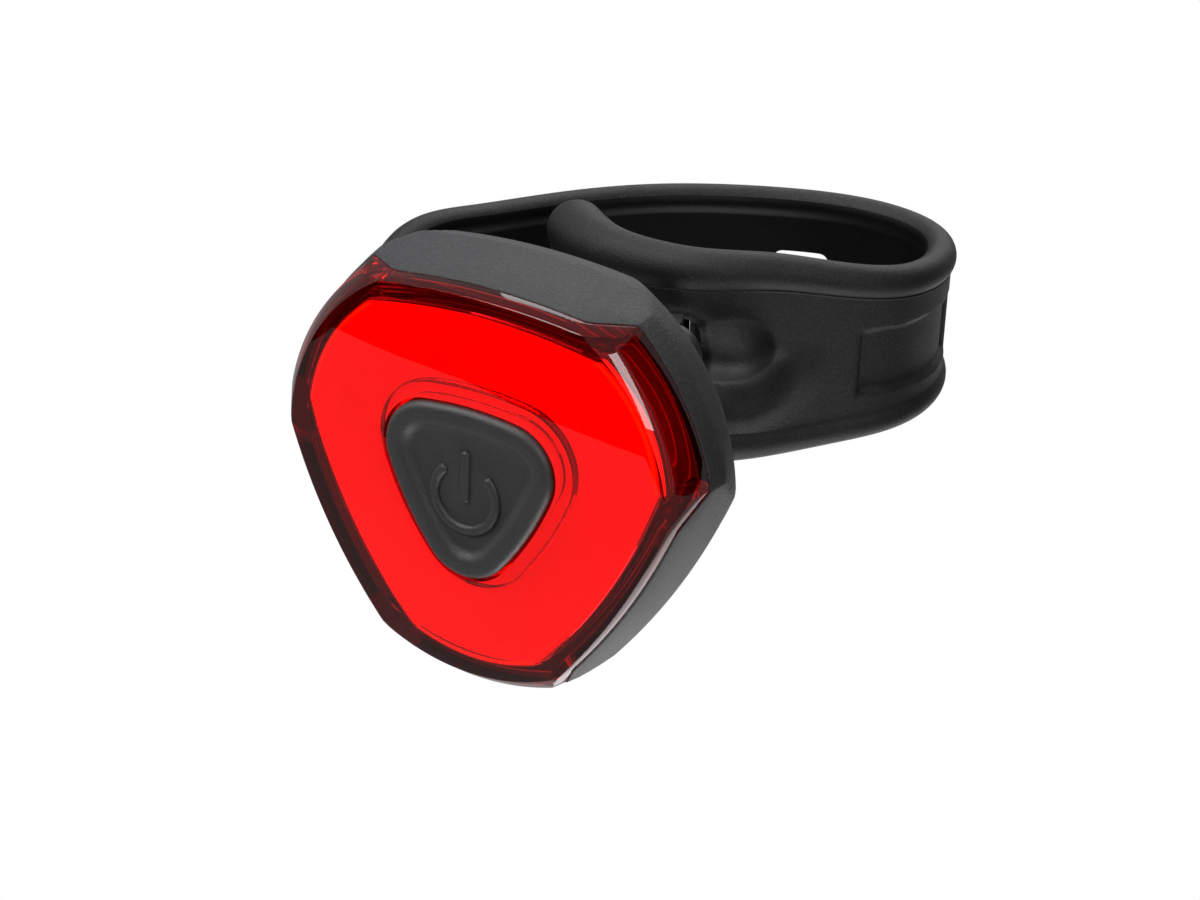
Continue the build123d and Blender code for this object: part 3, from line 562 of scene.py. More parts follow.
def seam_depth(index, point):
    """Depth of the seam between cap and body, which steps back at the three windows."""
    nearest = min(abs(window_offset(point, angle)) for angle in CORNER_ANGLES)
    share = min(1.0, max(0.0, (nearest - SHORT_SIDE / 2) / WINDOW_END_RUN))
    return WINDOW_DEPTH + (SEAM_DEPTH - WINDOW_DEPTH) * share


def between(first, second, share):
    """Ring at a share of the way from one ring to another."""
    return [a + (b - a) * share for a, b in zip(first, second)]


def on_face(points, depth_of):
    """Ring of points on a face whose depth depends on the distance from the middle."""
    return at_depth(points, lambda index, point: depth_of(point.length))


def ridge_outline():
    """Where the cap's leaning sides meet its front."""
    ridge = []
    for inner, outer in zip(lamp_outline(growth_at(LENS_APEX)), lamp_outline(growth_at(LENS_END))):
        low, high = 0.0, 1.0
        for _ in range(20):
            middle = (low + high) / 2
            spot = inner + (outer - inner) * middle
            wall_depth = LENS_APEX + (LENS_END - LENS_APEX) * middle
            low, high = (middle, high) if wall_depth < face_depth(spot.length) else (low, middle)
        ridge.append(inner + (outer - inner) * low)
    return ridge


def crease_outline(ridge):
    """Where the crown turns into the corner bevel, kept just inside the ridge elsewhere."""
    radius = BEVEL_INNER_RADIUS
    for _ in range(8):
        crown = LENS_APEX + radius * radius / (2 * LENS_CROWN_RADIUS)
        radius = BEVEL_INNER_RADIUS + (crown - BEVEL_FRONT) / bevel_slope
    crease = []
    for point in ridge:
        crease.append(point.normalized() * min(radius, point.length - CREASE_INSET))
    return crease


def wall_ring(ridge, share):
    """Ring on the cap's leaning side, between the ridge and the seam."""
    ring = []
    for index, top in enumerate(ridge):
        top_depth = face_depth(top.length)
        depth = top_depth + (seam_depth(index, top) - top_depth) * share
        point = lamp_outline_point(index, growth_at(depth))
        ring.append(LAMP_CENTRE + Vector((point.x, depth, point.y)))
    return ring


def cap_rings():
    """Rings from the button's hole over the face and down the side, then back inside to the sleeve."""
    hole = button_outline(SLIDE_GAP)
    sleeve = button_outline(SLIDE_GAP + SLEEVE_WALL)
    ridge = ridge_outline()
    crease = crease_outline(ridge)
    skirt = lamp_outline(inner_growth - FIT_GAP)
    inside = lamp_outline(-LENS_WALL)
    face_edge = lamp_outline(-LENS_WALL - INNER_FACE_INSET)
    rings = [on_face(between(hole, crease, share / 10), face_depth) for share in range(11)]
    rings += [
        on_face(ridge, face_depth),
        wall_ring(ridge, 0.5),
        wall_ring(ridge, 1.0),
        at_depth(skirt, seam_depth),
        at_depth(skirt, LENS_END),
        at_depth(inside, LENS_END),
        on_face(inside, lambda radius: back_face_depth(radius) + INNER_CORNER_RISE),
    ]
    for share in range(8, -1, -1):
        rings.append(on_face(between(sleeve, face_edge, share / 8), back_face_depth))
    for depth, growth in SLEEVE_STEPS:
        rings.append(at_depth(button_outline(SLIDE_GAP + SLEEVE_WALL + growth), depth))
    return rings + [at_depth(sleeve, SLEEVE_END), at_depth(hole, SLEEVE_END)]


def cap_material():
    """Clear red acrylic with faint clouds in its colour and a slight ripple on its faces."""
    material, tree, shader = new_material(
        "clear_red_acrylic", {"Transmission Weight": 0.94, "IOR": 1.49, "Roughness": 0.0}
    )
    clouds = mottled(tree, 60, (0.72, 0.004, 0.006), (0.86, 0.008, 0.012))[1]
    place = tree.nodes.new("ShaderNodeTexCoord")
    ripple = make_node(tree, "ShaderNodeTexNoise", {"Scale": 90})
    wave = make_node(tree, "ShaderNodeBump", {"Distance": 0.00002, "Strength": 0.35})
    wire(
        tree,
        (clouds, "Color", shader, "Base Color"),
        (place, "Object", ripple, "Vector"),
        (ripple, "Fac", wave, "Height"),
        (wave, "Normal", shader, "Normal"),
    )
    return material


cap_mesh = ring_mesh("red_cap", cap_rings())
outward_faces(cap_mesh)
red_cap = eased_edges(piece_of("red_cap", cap_mesh, cap_material()), CAP_EDGE_ROUND)
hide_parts("lens")
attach(red_cap, "lamp")


# Light spreader behind the cap
# One red moulding that stands on the circuit board round the button's sleeve. Its plate has a
# painted glow, an emission that stands in for the light on it. Lighter and darker copies of that
# material paint an orange highlight line on the raised rim round the plate, highlight lines on
# its ribs and shade on its wall.
PLATE_FRONT = 1.3 * MM
PLATE_BACK = 2.6 * MM
RIM_FRONT = 0.9 * MM
RIM_WIDTH = 0.45 * MM
BOARD_FRONT = 6.0 * MM
SPREADER_WALL = 1.0 * MM
SPREADER_INSET = 2.45 * MM
RIB_DEPTHS = (2.1 * MM, 2.9 * MM, 3.8 * MM, 4.8 * MM)
RIB_HEIGHT = 0.14 * MM
RIB_STAND = 0.08 * MM
RIM_FRONT_SHARE = 0.8
CAP_CLEARANCE = 0.12 * MM
RIM_ROWS = (5, 6)
WALL_ROWS = range(7, 8 + 4 * len(RIB_DEPTHS))


def painted_glow_material(name, dark, bright, strength):
    """Red plastic with a painted glow: its emission stands in for the light falling on it."""
    material, tree, shader = new_material(name, {"Roughness": 0.35, "Emission Strength": strength})
    glow = mottled(tree, 110, dark, bright)[1]
    wire(tree, (glow, "Color", shader, "Base Color"), (glow, "Color", shader, "Emission Color"))
    return material


def spreader_outline(inset):
    """Outline of the spreader, a little inside the cap's wall."""
    return [lamp_outline_point(index, -SPREADER_INSET - inset) for index in range(len(outline_at_rest))]


def clear_of_cap(depth):
    """That depth, or just behind the cap's back face where this lies deeper."""
    behind = depth - RIM_FRONT
    return lambda index, point: max(depth, back_face_depth(point.length) + CAP_CLEARANCE + behind)


def rib_rings():
    """Thin ribs round the spreader's wall, which carry painted highlight lines."""
    rings = []
    for depth in RIB_DEPTHS:
        rings.append(at_depth(spreader_outline(0), depth - RIB_HEIGHT))
        rings.append(at_depth(spreader_outline(-RIB_STAND), depth - RIB_HEIGHT / 2))
        rings.append(at_depth(spreader_outline(-RIB_STAND), depth + RIB_HEIGHT / 2))
        rings.append(at_depth(spreader_outline(0), depth + RIB_HEIGHT))
    return rings


def spreader_rings():
    """Rings from the sleeve's side over the plate and its rim, down the wall, and back inside."""
    lip = button_outline(SLIDE_GAP)
    opening = button_outline(2 * SLIDE_GAP + SLEEVE_WALL)
    tube = button_outline(2 * SLIDE_GAP + SLEEVE_WALL + SPREADER_WALL)
    return [
        at_depth(opening, PLATE_BACK),
        at_depth(lip, PLATE_BACK),
        at_depth(lip, PLATE_FRONT),
        at_depth(opening, PLATE_FRONT),
        at_depth(spreader_outline(2 * RIM_WIDTH), PLATE_FRONT),
        at_depth(spreader_outline(RIM_WIDTH), clear_of_cap(PLATE_FRONT)),
        at_depth(spreader_outline(RIM_WIDTH * RIM_FRONT_SHARE), clear_of_cap(RIM_FRONT)),
        at_depth(spreader_outline(0), clear_of_cap(RIM_FRONT)),
        *rib_rings(),
        at_depth(spreader_outline(0), BOARD_FRONT),
        at_depth(spreader_outline(SPREADER_WALL), BOARD_FRONT),
        at_depth(spreader_outline(SPREADER_WALL), PLATE_BACK),
        at_depth(tube, PLATE_BACK),
        at_depth(tube, BOARD_FRONT),
        at_depth(opening, BOARD_FRONT),
    ]


spreader_mesh = ring_mesh("light_spreader", spreader_rings())
outward_faces(spreader_mesh)
# Painted glow: the plate's emission stands in for the light on it.
spreader_painted_glow = painted_glow_material("red_spreader_painted_glow", (0.9, 0.0, 0.0), (1.0, 0.004, 0.0), 1.1)
light_spreader = piece_of("light_spreader", spreader_mesh, spreader_painted_glow)
for name, dark, bright, strength in (
    # Brighter orange copy of the painted glow: a painted highlight line on the raised rim.
    ("spreader_rim", (1.0, 0.03, 0.0), (1.0, 0.08, 0.0), 1.6),
    # Darker, dimmer copy of the painted glow: painted shade on the wall seen in the cap's windows.
    ("spreader_wall", (0.08, 0.0, 0.0), (0.14, 0.002, 0.002), 0.35),
    # Mid copy of the painted glow: painted highlight lines on the ribs.
    ("spreader_ribs", (0.3, 0.0, 0.0), (0.6, 0.006, 0.0), 0.6),
):
    spreader_mesh.materials.append(painted_glow_material(name, dark, bright, strength))
# The rim, the ribs and the wall take the painted highlight and painted shade copies of the glow.
for face in spreader_mesh.polygons:
    row = face.index // len(outline_at_rest)
    if row in RIM_ROWS:
        face.material_index = 1
    elif row in WALL_ROWS and row % 4 == 1:
        face.material_index = 3
    elif row in WALL_ROWS or row > WALL_ROWS[-1]:
        face.material_index = 2
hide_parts("diffuser")
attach(light_spreader, "lamp")


# Body shell
# Grey glass-filled nylon with a fine spark-eroded grain, like the cover that closes its back. Its
# three corner sides are cut back for the cap's windows, and its back edge is chamfered all round.
HOUSING_BACK = 10.9 * MM
HOUSING_FLOOR = 1.6 * MM
HOUSING_FACET = 6.2 * MM
HOUSING_WIDEST = 8.8 * MM
WIDEST_BULGE = 0.5 * MM
BACK_DROP = 0.8 * MM
BACK_BULGE = 0.05 * MM
CORNER_LIMITS = ((5.2 * MM, 23.6 * MM), (8.8 * MM, 22.9 * MM), (10.9 * MM, 21.6 * MM))
BODY_DEPTHS = (4.6, 5.2, 5.7, 6.2, 6.9, 7.6, 8.2, 8.8, 9.3, 9.8, 10.4, 10.9)
BODY_EDGE_ROUND = 0.14 * MM
BOARD_BACK = 7.2 * MM
LEDGE_WIDTH = 1.5 * MM
CELL_OPENING = 11.6 * MM

body_grey = moulded_material(
    "grained_grey_nylon", (0.06, 0.062, 0.065), (0.24, 0.24, 0.245), 0.42, 3800, 0.00014, 0.4, 0.00022, 0.4
)


def corner_limit(depth):
    """Largest distance from the middle that the body reaches at a depth."""
    if depth <= CORNER_LIMITS[0][0]:
        return CORNER_LIMITS[0][1]
    for near, far in zip(CORNER_LIMITS, CORNER_LIMITS[1:]):
        if depth <= far[0]:
            share = (depth - near[0]) / (far[0] - near[0])
            return near[1] + (far[1] - near[1]) * share
    return CORNER_LIMITS[-1][1]


def body_ring(depth):
    """Outer outline of the body at a depth, trimmed at its vertices."""
    if depth <= HOUSING_FACET:
        extra, bulge = 0.0, SHORT_BULGE
    elif depth <= HOUSING_WIDEST:
        share = (depth - HOUSING_FACET) / (HOUSING_WIDEST - HOUSING_FACET)
        extra, bulge = 0.0, SHORT_BULGE + (WIDEST_BULGE - SHORT_BULGE) * share
    else:
        share = (depth - HOUSING_WIDEST) / (HOUSING_BACK - HOUSING_WIDEST)
        extra = -BACK_DROP * share
        bulge = WIDEST_BULGE + (BACK_BULGE - WIDEST_BULGE) * share
    outline = lamp_outline(growth_at(depth) + HOUSING_PROUD + extra, bulge)
    limit = corner_limit(depth)
    trimmed = [point if point.length < limit else point.normalized() * limit for point in outline]
    return at_depth(trimmed, depth)


def body_rings():
    """Rings from the seam down the outside, over the back and its opening, and up the inside."""
    front = lamp_outline(growth_at(SEAM_DEPTH) + HOUSING_PROUD)
    seam = []
    for index, point in enumerate(front):
        depth = seam_depth(index, point)
        spot = lamp_outline_point(index, growth_at(depth) + HOUSING_PROUD)
        seam.append(LAMP_CENTRE + Vector((spot.x, depth, spot.y)))
    opening = [point.normalized() * CELL_OPENING for point in outline_at_rest]
    ledge = lamp_outline(inner_growth - LEDGE_WIDTH, BACK_BULGE)
    inside = lamp_outline(inner_growth)
    return [
        seam,
        *(body_ring(depth * MM) for depth in BODY_DEPTHS),
        at_depth(opening, HOUSING_BACK),
        at_depth(opening, HOUSING_BACK - HOUSING_FLOOR),
        at_depth(ledge, HOUSING_BACK - HOUSING_FLOOR),
        at_depth(ledge, BOARD_BACK),
        at_depth(inside, BOARD_BACK),
        at_depth(inside, seam_depth),
    ]


body_mesh = ring_mesh("body_shell", body_rings())
outward_faces(body_mesh)
body_shell = eased_edges(piece_of("body_shell", body_mesh, body_grey), BODY_EDGE_ROUND)
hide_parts("housing")
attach(body_shell, "lamp")
dress("rear_cover", body_grey)


# Power button
# A soft-touch cap, dished like a thumbprint, with the usual broken-ring power sign standing up
# from the floor of the dish. It is moulded over a hard core and clicks the switch behind it.
BUTTON_FRONT = -2.2 * MM
DISH_INSET = 1.7 * MM
DISH_SLOPE = 1.3 * MM
DISH_DEPTH = 0.75 * MM
EDGE_ROUND = 0.8 * MM
FLANGE_FRONT = 3.1 * MM
FLANGE_BACK = 3.8 * MM
FLANGE_REACH = 1.2 * MM
SKIRT_WALL = 1.6 * MM
TOP_THICKNESS = 1.6 * MM
STEM_RADIUS = 1.9 * MM
STEM_END = 1.9 * MM
SIGN_CENTRE = Vector((-0.35, -1.5)) * MM
SIGN_RADIUS = 3.4 * MM
SIGN_STROKE = 0.5 * MM
SIGN_RISE = 0.5 * MM
SIGN_GAP = (50, 128)
SIGN_LIFT = 0.03 * MM
SIGN_RING_STEPS = 160
SIGN_BAR_STEPS = 60
BAR_LOW = -0.6 * MM
BAR_HIGH = 4.9 * MM

button_grey = moulded_material(
    "soft_touch_grey", (0.1, 0.102, 0.104), (0.22, 0.22, 0.225), 0.4, 5000, 0.00005, 0.3, 0.0002
)


def button_rings():
    """Rings from the middle of the dish, over the rim and down the skirt, to the middle of the back."""
    floor = BUTTON_FRONT + DISH_DEPTH
    flat = button_outline(-DISH_INSET - DISH_SLOPE)
    rings = [at_depth([point * share for point in flat], floor) for share in (0, 0.35, 0.7, 1)]
    for share in (0.15, 0.35, 0.5, 0.65, 0.85, 1):
        rise = share * share * (3 - 2 * share)
        slope = button_outline(-DISH_INSET - DISH_SLOPE * (1 - share))
        rings.append(at_depth(slope, floor - DISH_DEPTH * rise))
    for step in range(7):
        turn = math.pi / 2 * step / 6
        edge = button_outline(-(EDGE_ROUND * (1 - math.sin(turn))))
        rings.append(at_depth(edge, BUTTON_FRONT + EDGE_ROUND * (1 - math.cos(turn))))
    flange = button_outline(FLANGE_REACH)
    skirt = button_outline(-SKIRT_WALL)
    stem = [point.normalized() * STEM_RADIUS for point in button_ring]
    return rings + [
        at_depth(button_outline(0), FLANGE_FRONT),
        at_depth(flange, FLANGE_FRONT),
        at_depth(flange, FLANGE_BACK),
        at_depth(skirt, FLANGE_BACK),
        at_depth(skirt, BUTTON_FRONT + TOP_THICKNESS),
        at_depth(stem, BUTTON_FRONT + TOP_THICKNESS),
        at_depth(stem, STEM_END),
        at_depth([point * 0 for point in stem], STEM_END),
    ]


button_mesh = ring_mesh("button_cap", button_rings(), closed=False)
outward_faces(button_mesh)
button_cap = piece_of("button_cap", button_mesh, button_grey, 50)
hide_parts("power_button")
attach(button_cap, "button")


def closed_band(name, rings):
    """Mesh between rings whose first and last one are closed by a face each."""
    mesh = ring_mesh(name, rings, closed=False)
    work = bmesh.new()
    work.from_mesh(mesh)
    bmesh.ops.holes_fill(work, edges=[edge for edge in work.edges if edge.is_boundary], sides=0)
    bmesh.ops.recalc_face_normals(work, faces=work.faces)
    work.to_mesh(mesh)
    work.free()
    return mesh


def sign_stroke(name, path):
    """Low rounded ridge along a path on the floor of the dish."""
    floor = BUTTON_FRONT + DISH_DEPTH + SIGN_LIFT
    rings = []
    for index, point in enumerate(path):
        before = path[max(index - 1, 0)]
        after = path[min(index + 1, len(path) - 1)]
        side = Vector((after.y - before.y, before.x - after.x)).normalized()
        ends = min(index, len(path) - 1 - index)
        slim = math.sin(min(1.0, (ends + 0.35) / 4) * math.pi / 2)
        ring = []
        for step in range(13):
            angle = math.pi * step / 12
            out = side * (math.cos(angle) * SIGN_STROKE * slim)
            lift = math.sin(angle) ** 0.7 * SIGN_RISE * slim
            ring.append(LAMP_CENTRE + Vector((point.x + out.x, floor - lift, point.y + out.y)))
        rings.append(ring)
    stroke = piece_of(name, closed_band(name, rings), button_grey, 60)
    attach(stroke, "button")


sign_ring = []
for step in range(SIGN_RING_STEPS + 1):
    angle = math.radians(SIGN_GAP[1] + (360 + SIGN_GAP[0] - SIGN_GAP[1]) * step / SIGN_RING_STEPS)
    sign_ring.append(SIGN_CENTRE + Vector((math.cos(angle), math.sin(angle))) * SIGN_RADIUS)
sign_stroke("power_sign_ring", sign_ring)
sign_bar = []
for step in range(SIGN_BAR_STEPS + 1):
    sign_bar.append(SIGN_CENTRE + Vector((0, BAR_LOW + (BAR_HIGH - BAR_LOW) * step / SIGN_BAR_STEPS)))
sign_stroke("power_sign_bar", sign_bar)


# Strap
# One moulding of black silicone with a thick bead along each edge. It turns on a steel pin, runs
# round the seat post, and comes back to a thumb tab whose hole drops over the bracket's hook.
LOOP_WIDTH = 46.7 * MM
LOOP_DEPTH = 31.793 * MM
# Middle line of the strap from the pin to the tab, as shares of the loop's width and depth.
STRAP_ROUTE_SHARES = [
    (-0.434, -0.887),
    (-0.500, -0.878),
    (-0.538, -0.780),
    (-0.535, -0.600),
    (-0.495, -0.390),
    (-0.400, -0.070),
    (-0.270, 0.200),
    (-0.120, 0.400),
    (0.040, 0.530),
    (0.210, 0.566),
    (0.372, 0.468),
    (0.452, 0.250),
    (0.434, 0.020),
    (0.343, -0.140),
    (0.225, -0.270),
    (0.094, -0.403),
    (-0.020, -0.434),
    (-0.120, -0.415),
    (-0.200, -0.355),
    (-0.262, -0.285),
    (-0.302, -0.226),
]
# Share of the strap's length, and how far its rise, drop, bead and web have changed by there from
# the sizes at the far side to those at the tab.
STRAP_SECTION_SHARES = [
    (0.000, -0.20, -0.95, 0.00, 0.40),
    (0.030, -0.05, -0.80, 0.00, 0.20),
    (0.075, 0.50, -0.45, 0.00, 0.00),
    (0.150, 0.48, -0.175, 0.00, 0.00),
    (0.235, 0.27, -0.05, 0.00, 0.00),
    (0.330, 0.14, 0.00, 0.00, 0.00),
    (0.430, 0.00, 0.00, 0.00, 0.00),
    (0.530, 0.05, 0.00, 0.00, 0.00),
    (0.610, 0.16, 0.17, 0.05, 0.05),
    (0.675, 0.31, 0.31, 0.12, 0.12),
    (0.735, 0.60, 0.55, 0.22, 0.30),
    (0.785, 0.86, 0.875, 0.36, 0.45),
    (0.832, 0.975, 1.00, 0.55, 0.60),
    (0.882, 1.00, 1.00, 0.76, 0.75),
    (0.931, 1.00, 1.00, 0.92, 1.00),
    (0.980, 1.00, 1.00, 1.00, 1.60),
]
FAR_SIZES = (6.25 * MM, 9.25 * MM, 3.2 * MM, 2.3 * MM)
TAB_SIZES = (10.25 * MM, 13.25 * MM, 5.4 * MM, 4.0 * MM)
TAB_SWELL = 0.16
TAB_SWELL_SHARES = (0.89, 0.97)
STATIONS = 420
BEAD_POINTS = 22
WEB_POINTS = 44
# Holes are given by length, height and corner radius. The hook's opening is cut a little shorter
# than the lip round it, and lies on the hook's arc.
HOOK_HOLE_SHARE = 0.866
HOOK_HOLE = (7.6 * MM, 6.4 * MM, 1.6 * MM)
LIP_RISE = 0.35 * MM
LIP_WIDTH = 0.5 * MM
INNER_LIP = 3.1 * MM
INNER_LIP_SLOPE = (0.5 * MM, 2.0 * MM)
HOOK_OPENING = 6.75 * MM
HOOK_OPENING_MIDDLE = 23.97 * MM
FAR_HOLE_SHARE = 0.443
FAR_HOLE = (6.0 * MM, 5.0 * MM, 1.0 * MM)
FAR_HOLE_DROP = 3.0 * MM
CUTTER_REACH = 7.5 * MM
BUMP_SHARE = 0.816
BUMP_LENGTH = 9.6 * MM
BUMP_HEIGHT = 7.2 * MM
BUMP_LIFT = -0.2 * MM
BUMP_RISE = 2.5 * MM
BUMP_ENDS = (0.9, 1.1)
BUMP_ROUNDNESS = 1.25
FOLD_REACH = 7.6 * MM
FOLD_WIDTH = 1.7 * MM
FOLD_RISE = 0.55 * MM
SCOOP_REACH = 4.6 * MM
SCOOP_DEPTH = 0.35 * MM
SCOOP_ANGLES = ((-112, -80), (-22, 4))
PANEL_START = 0.600
PANEL_END = 0.718
PANEL_SLOPE = 0.002
PANEL_MIDDLE = -2.0 * MM
PANEL_HEIGHT = 6.8 * MM
PANEL_EDGE = 0.3 * MM
PANEL_DEPTH = 0.6 * MM
FLASH_WIDTH = 0.09 * MM
FLASH_RISE = 0.1 * MM
FLASH_PROFILE = ((3 * FLASH_WIDTH, 0), (2 * FLASH_WIDTH, 1), (FLASH_WIDTH, 1), (0.2 * FLASH_WIDTH, 0))
PIN_OFFSET = -18.2 * MM
PIN_Y = -28.2 * MM
PIN_AXIS = Vector((PIN_OFFSET, PIN_Y, 0))
EYE_OUTER = 3.3 * MM
EYE_INNER = 1.56 * MM
EYE_HALF = 5.5 * MM
EYE_EASE = 0.25 * MM
STRAP_SHARP_ANGLE = 42
ROUND_END_STEPS = 11.4
# Points of each bead, next to the inner face, that take the painted shade of the loop's inside.
PAINTED_SHADE_BEAD_POINTS = (7, 6)


def natural_curve(points, knots):
    """Smooth curve through points at given knots; gives the place and the direction at a knot value."""
    count = len(points)
    lower, diagonal, upper, right = [0.0] * count, [1.0] * count, [0.0] * count, [points[0] * 0] * count
    for i in range(1, count - 1):
        near, far = knots[i] - knots[i - 1], knots[i + 1] - knots[i]
        lower[i], diagonal[i], upper[i] = near, 2 * (near + far), far
        right[i] = ((points[i + 1] - points[i]) / far - (points[i] - points[i - 1]) / near) * 6
    for i in range(1, count):
        factor = lower[i] / diagonal[i - 1]
        diagonal[i] -= factor * upper[i - 1]
        right[i] = right[i] - right[i - 1] * factor
    bend = [points[0] * 0] * count
    for i in range(count - 2, 0, -1):
        bend[i] = (right[i] - bend[i + 1] * upper[i]) / diagonal[i]

    def at(length):
        i = max(k for k in range(count - 1) if knots[k] <= length or k == 0)
        span = knots[i + 1] - knots[i]
        a, b = (knots[i + 1] - length) / span, (length - knots[i]) / span
        place = points[i] * a + points[i + 1] * b
        place += (bend[i] * (a**3 - a) + bend[i + 1] * (b**3 - b)) * span * span / 6
        way = (points[i + 1] - points[i]) / span
        way += (bend[i + 1] * (3 * b * b - 1) - bend[i] * (3 * a * a - 1)) * span / 6
        return place, way.normalized()

    return at


route_points = []
for across, depth in STRAP_ROUTE_SHARES:
    route_points.append(Vector((across * LOOP_WIDTH, depth * LOOP_DEPTH, 0)))
route_knots = [0.0]
for before, after in zip(route_points, route_points[1:]):
    route_knots.append(route_knots[-1] + (after - before).length)
strap_length = route_knots[-1]
route_curve = natural_curve(route_points, route_knots)
size_points = [Vector(row[1:]) for row in STRAP_SECTION_SHARES]
size_curve = natural_curve(size_points, [row[0] for row in STRAP_SECTION_SHARES])


def strap_at(share):
    """Place and direction of the strap at a share of its length."""
    return route_curve(share * strap_length)


def strap_sizes(share):
    """Rise, drop, bead and web of the strap at a share of its length."""
    gone = size_curve(min(share, STRAP_SECTION_SHARES[-1][0]))[0]
    rise, drop, bead, web = (far + g * (tab - far) for far, tab, g in zip(FAR_SIZES, TAB_SIZES, gone))
    bead *= 1 + TAB_SWELL * soft_step(share, *TAB_SWELL_SHARES)
    return rise, drop, bead, min(web, bead * 0.98)


def soft_step(value, low, high):
    """Rise from nothing to one between two values, without a corner."""
    share = min(1.0, max(0.0, (value - low) / (high - low)))
    return share * share * (3 - 2 * share)


def bump_relief(along, height):
    """Drop-shaped bump for the thumb, beside the hook hole."""
    forward = BUMP_LENGTH / 2 * (BUMP_ENDS[0] if along > 0 else BUMP_ENDS[1])
    reach = math.hypot(along / forward, (height - BUMP_LIFT) / (BUMP_HEIGHT / 2))
    return BUMP_RISE * max(0.0, 1 - reach * reach) ** BUMP_ROUNDNESS


def scoop_relief(along, height):
    """Shallow scoop round the bump, with a soft curved fold along its lower right edge."""
    up = height - BUMP_LIFT
    reach = math.hypot(along, up)
    way = math.degrees(math.atan2(up, along))
    arc = soft_step(way, *SCOOP_ANGLES[0]) * (1 - soft_step(way, *SCOOP_ANGLES[1]))
    fold = FOLD_RISE * math.exp(-(((reach - FOLD_REACH) / FOLD_WIDTH) ** 2))
    scoop = SCOOP_DEPTH * math.exp(-(((reach - SCOOP_REACH) / FOLD_WIDTH) ** 2))
    return (fold - scoop) * arc


def from_hook_hole(share, height):
    """Distance from the edge of the hook hole, measured on the strap's face."""
    along = abs(HOOK_HOLE_SHARE - share) * strap_length
    across = max(0.0, along - (HOOK_HOLE[0] / 2 - HOOK_HOLE[2]))
    up = max(0.0, abs(height) - (HOOK_HOLE[1] / 2 - HOOK_HOLE[2]))
    return math.hypot(across, up) - HOOK_HOLE[2]


def lip_relief(share, height):
    """Narrow raised lip round the hook hole on the outside."""
    return LIP_RISE * math.exp(-(((from_hook_hole(share, height) - LIP_WIDTH) / LIP_WIDTH) ** 2))


def inner_lip(share, height):
    """Thicker rim round the hook hole on the inside."""
    return INNER_LIP * (1 - soft_step(from_hook_hole(share, height), *INNER_LIP_SLOPE))


def panel_relief(share, height):
    """Shallow sunk panel where the strap turns back."""
    inside = soft_step(share, PANEL_START - PANEL_SLOPE, PANEL_START + PANEL_SLOPE)
    inside *= 1 - soft_step(share, PANEL_END - PANEL_SLOPE, PANEL_END + PANEL_SLOPE)
    from_middle = abs(height - PANEL_MIDDLE)
    inside *= 1 - soft_step(from_middle, PANEL_HEIGHT / 2 - PANEL_EDGE, PANEL_HEIGHT / 2 + PANEL_EDGE)
    return -PANEL_DEPTH * inside


def strap_relief(share, height):
    """How far the outer face stands out from the plain web."""
    relief = panel_relief(share, height)
    from_bump = (BUMP_SHARE - share) * strap_length
    relief += bump_relief(from_bump, height)
    relief += scoop_relief(from_bump, height)
    return relief + lip_relief(share, height)


def strap_ring(share, shrink=0.0, slim=1.0):
    """Closed ring of points round the strap's dog-bone section."""
    place, way = strap_at(min(share, 1.0))
    outward = Vector((-way.y, way.x, 0))
    rise, drop, bead, web = strap_sizes(share)
    rise, drop, bead, web = rise - shrink, drop - shrink, bead * slim, web * slim
    radius, half_web = bead / 2, web / 2
    neck = math.sqrt(radius**2 - half_web**2)
    turn = math.asin(half_web / radius)
    section = []
    for step in range(BEAD_POINTS):
        angle = -math.pi / 2 + turn + (2 * math.pi - 2 * turn) * step / (BEAD_POINTS - 1)
        section.append((math.cos(angle) * radius, rise - radius + math.sin(angle) * radius))
    top, low = rise - radius - neck, -(drop - radius - neck)
    for step in range(1, WEB_POINTS):
        height = top + (low - top) * step / WEB_POINTS
        section.append((-half_web - inner_lip(share, height), height))
    for step in range(BEAD_POINTS):
        angle = math.pi / 2 + turn + (2 * math.pi - 2 * turn) * step / (BEAD_POINTS - 1)
        section.append((math.cos(angle) * radius, -(drop - radius) + math.sin(angle) * radius))
    for step in range(1, WEB_POINTS):
        height = low + (top - low) * step / WEB_POINTS
        section.append((half_web + strap_relief(share, height), height))
    for below, stand in FLASH_PROFILE:
        height = top - below
        section.append((half_web + strap_relief(share, height) + stand * FLASH_RISE * slim, height))
    return [place + outward * across + Vector((0, 0, height)) for across, height in section]


def strap_band():
    """The strap from the pin to the rounded end of its tab."""
    last = STRAP_SECTION_SHARES[-1][0]
    rings = [strap_ring(last * step / STATIONS) for step in range(STATIONS + 1)]
    bead = strap_sizes(1.0)[2]
    for step in range(1, math.ceil(ROUND_END_STEPS)):
        turn = math.pi / 2 * step / ROUND_END_STEPS
        share = last + (1 - last) * math.sin(turn)
        rings.append(strap_ring(share, bead / 2 * (1 - math.cos(turn)), math.cos(turn)))
    return closed_band("strap_band", rings)


def prism(name, near, far):
    """Closed block between two like rings of points."""
    count = len(near)
    faces = [tuple(range(count)), tuple(range(2 * count - 1, count - 1, -1))]
    for index in range(count):
        beside = (index + 1) % count
        faces.append((index, index + count, beside + count, beside))
    mesh = bpy.data.meshes.new(name)
    mesh.from_pydata(near + far, [], faces)
    outward_faces(mesh)
    block = bpy.data.objects.new(name, mesh)
    bpy.context.collection.objects.link(block)
    return block


def cut_out(piece, blocks):
    """Cut blocks out of a piece and remove them."""
    for block in blocks:
        cut = piece.modifiers.new("cut", "BOOLEAN")
        cut.operation = "DIFFERENCE"
        cut.object = block
    finished(piece)
    for block in blocks:
        bpy.data.objects.remove(block)


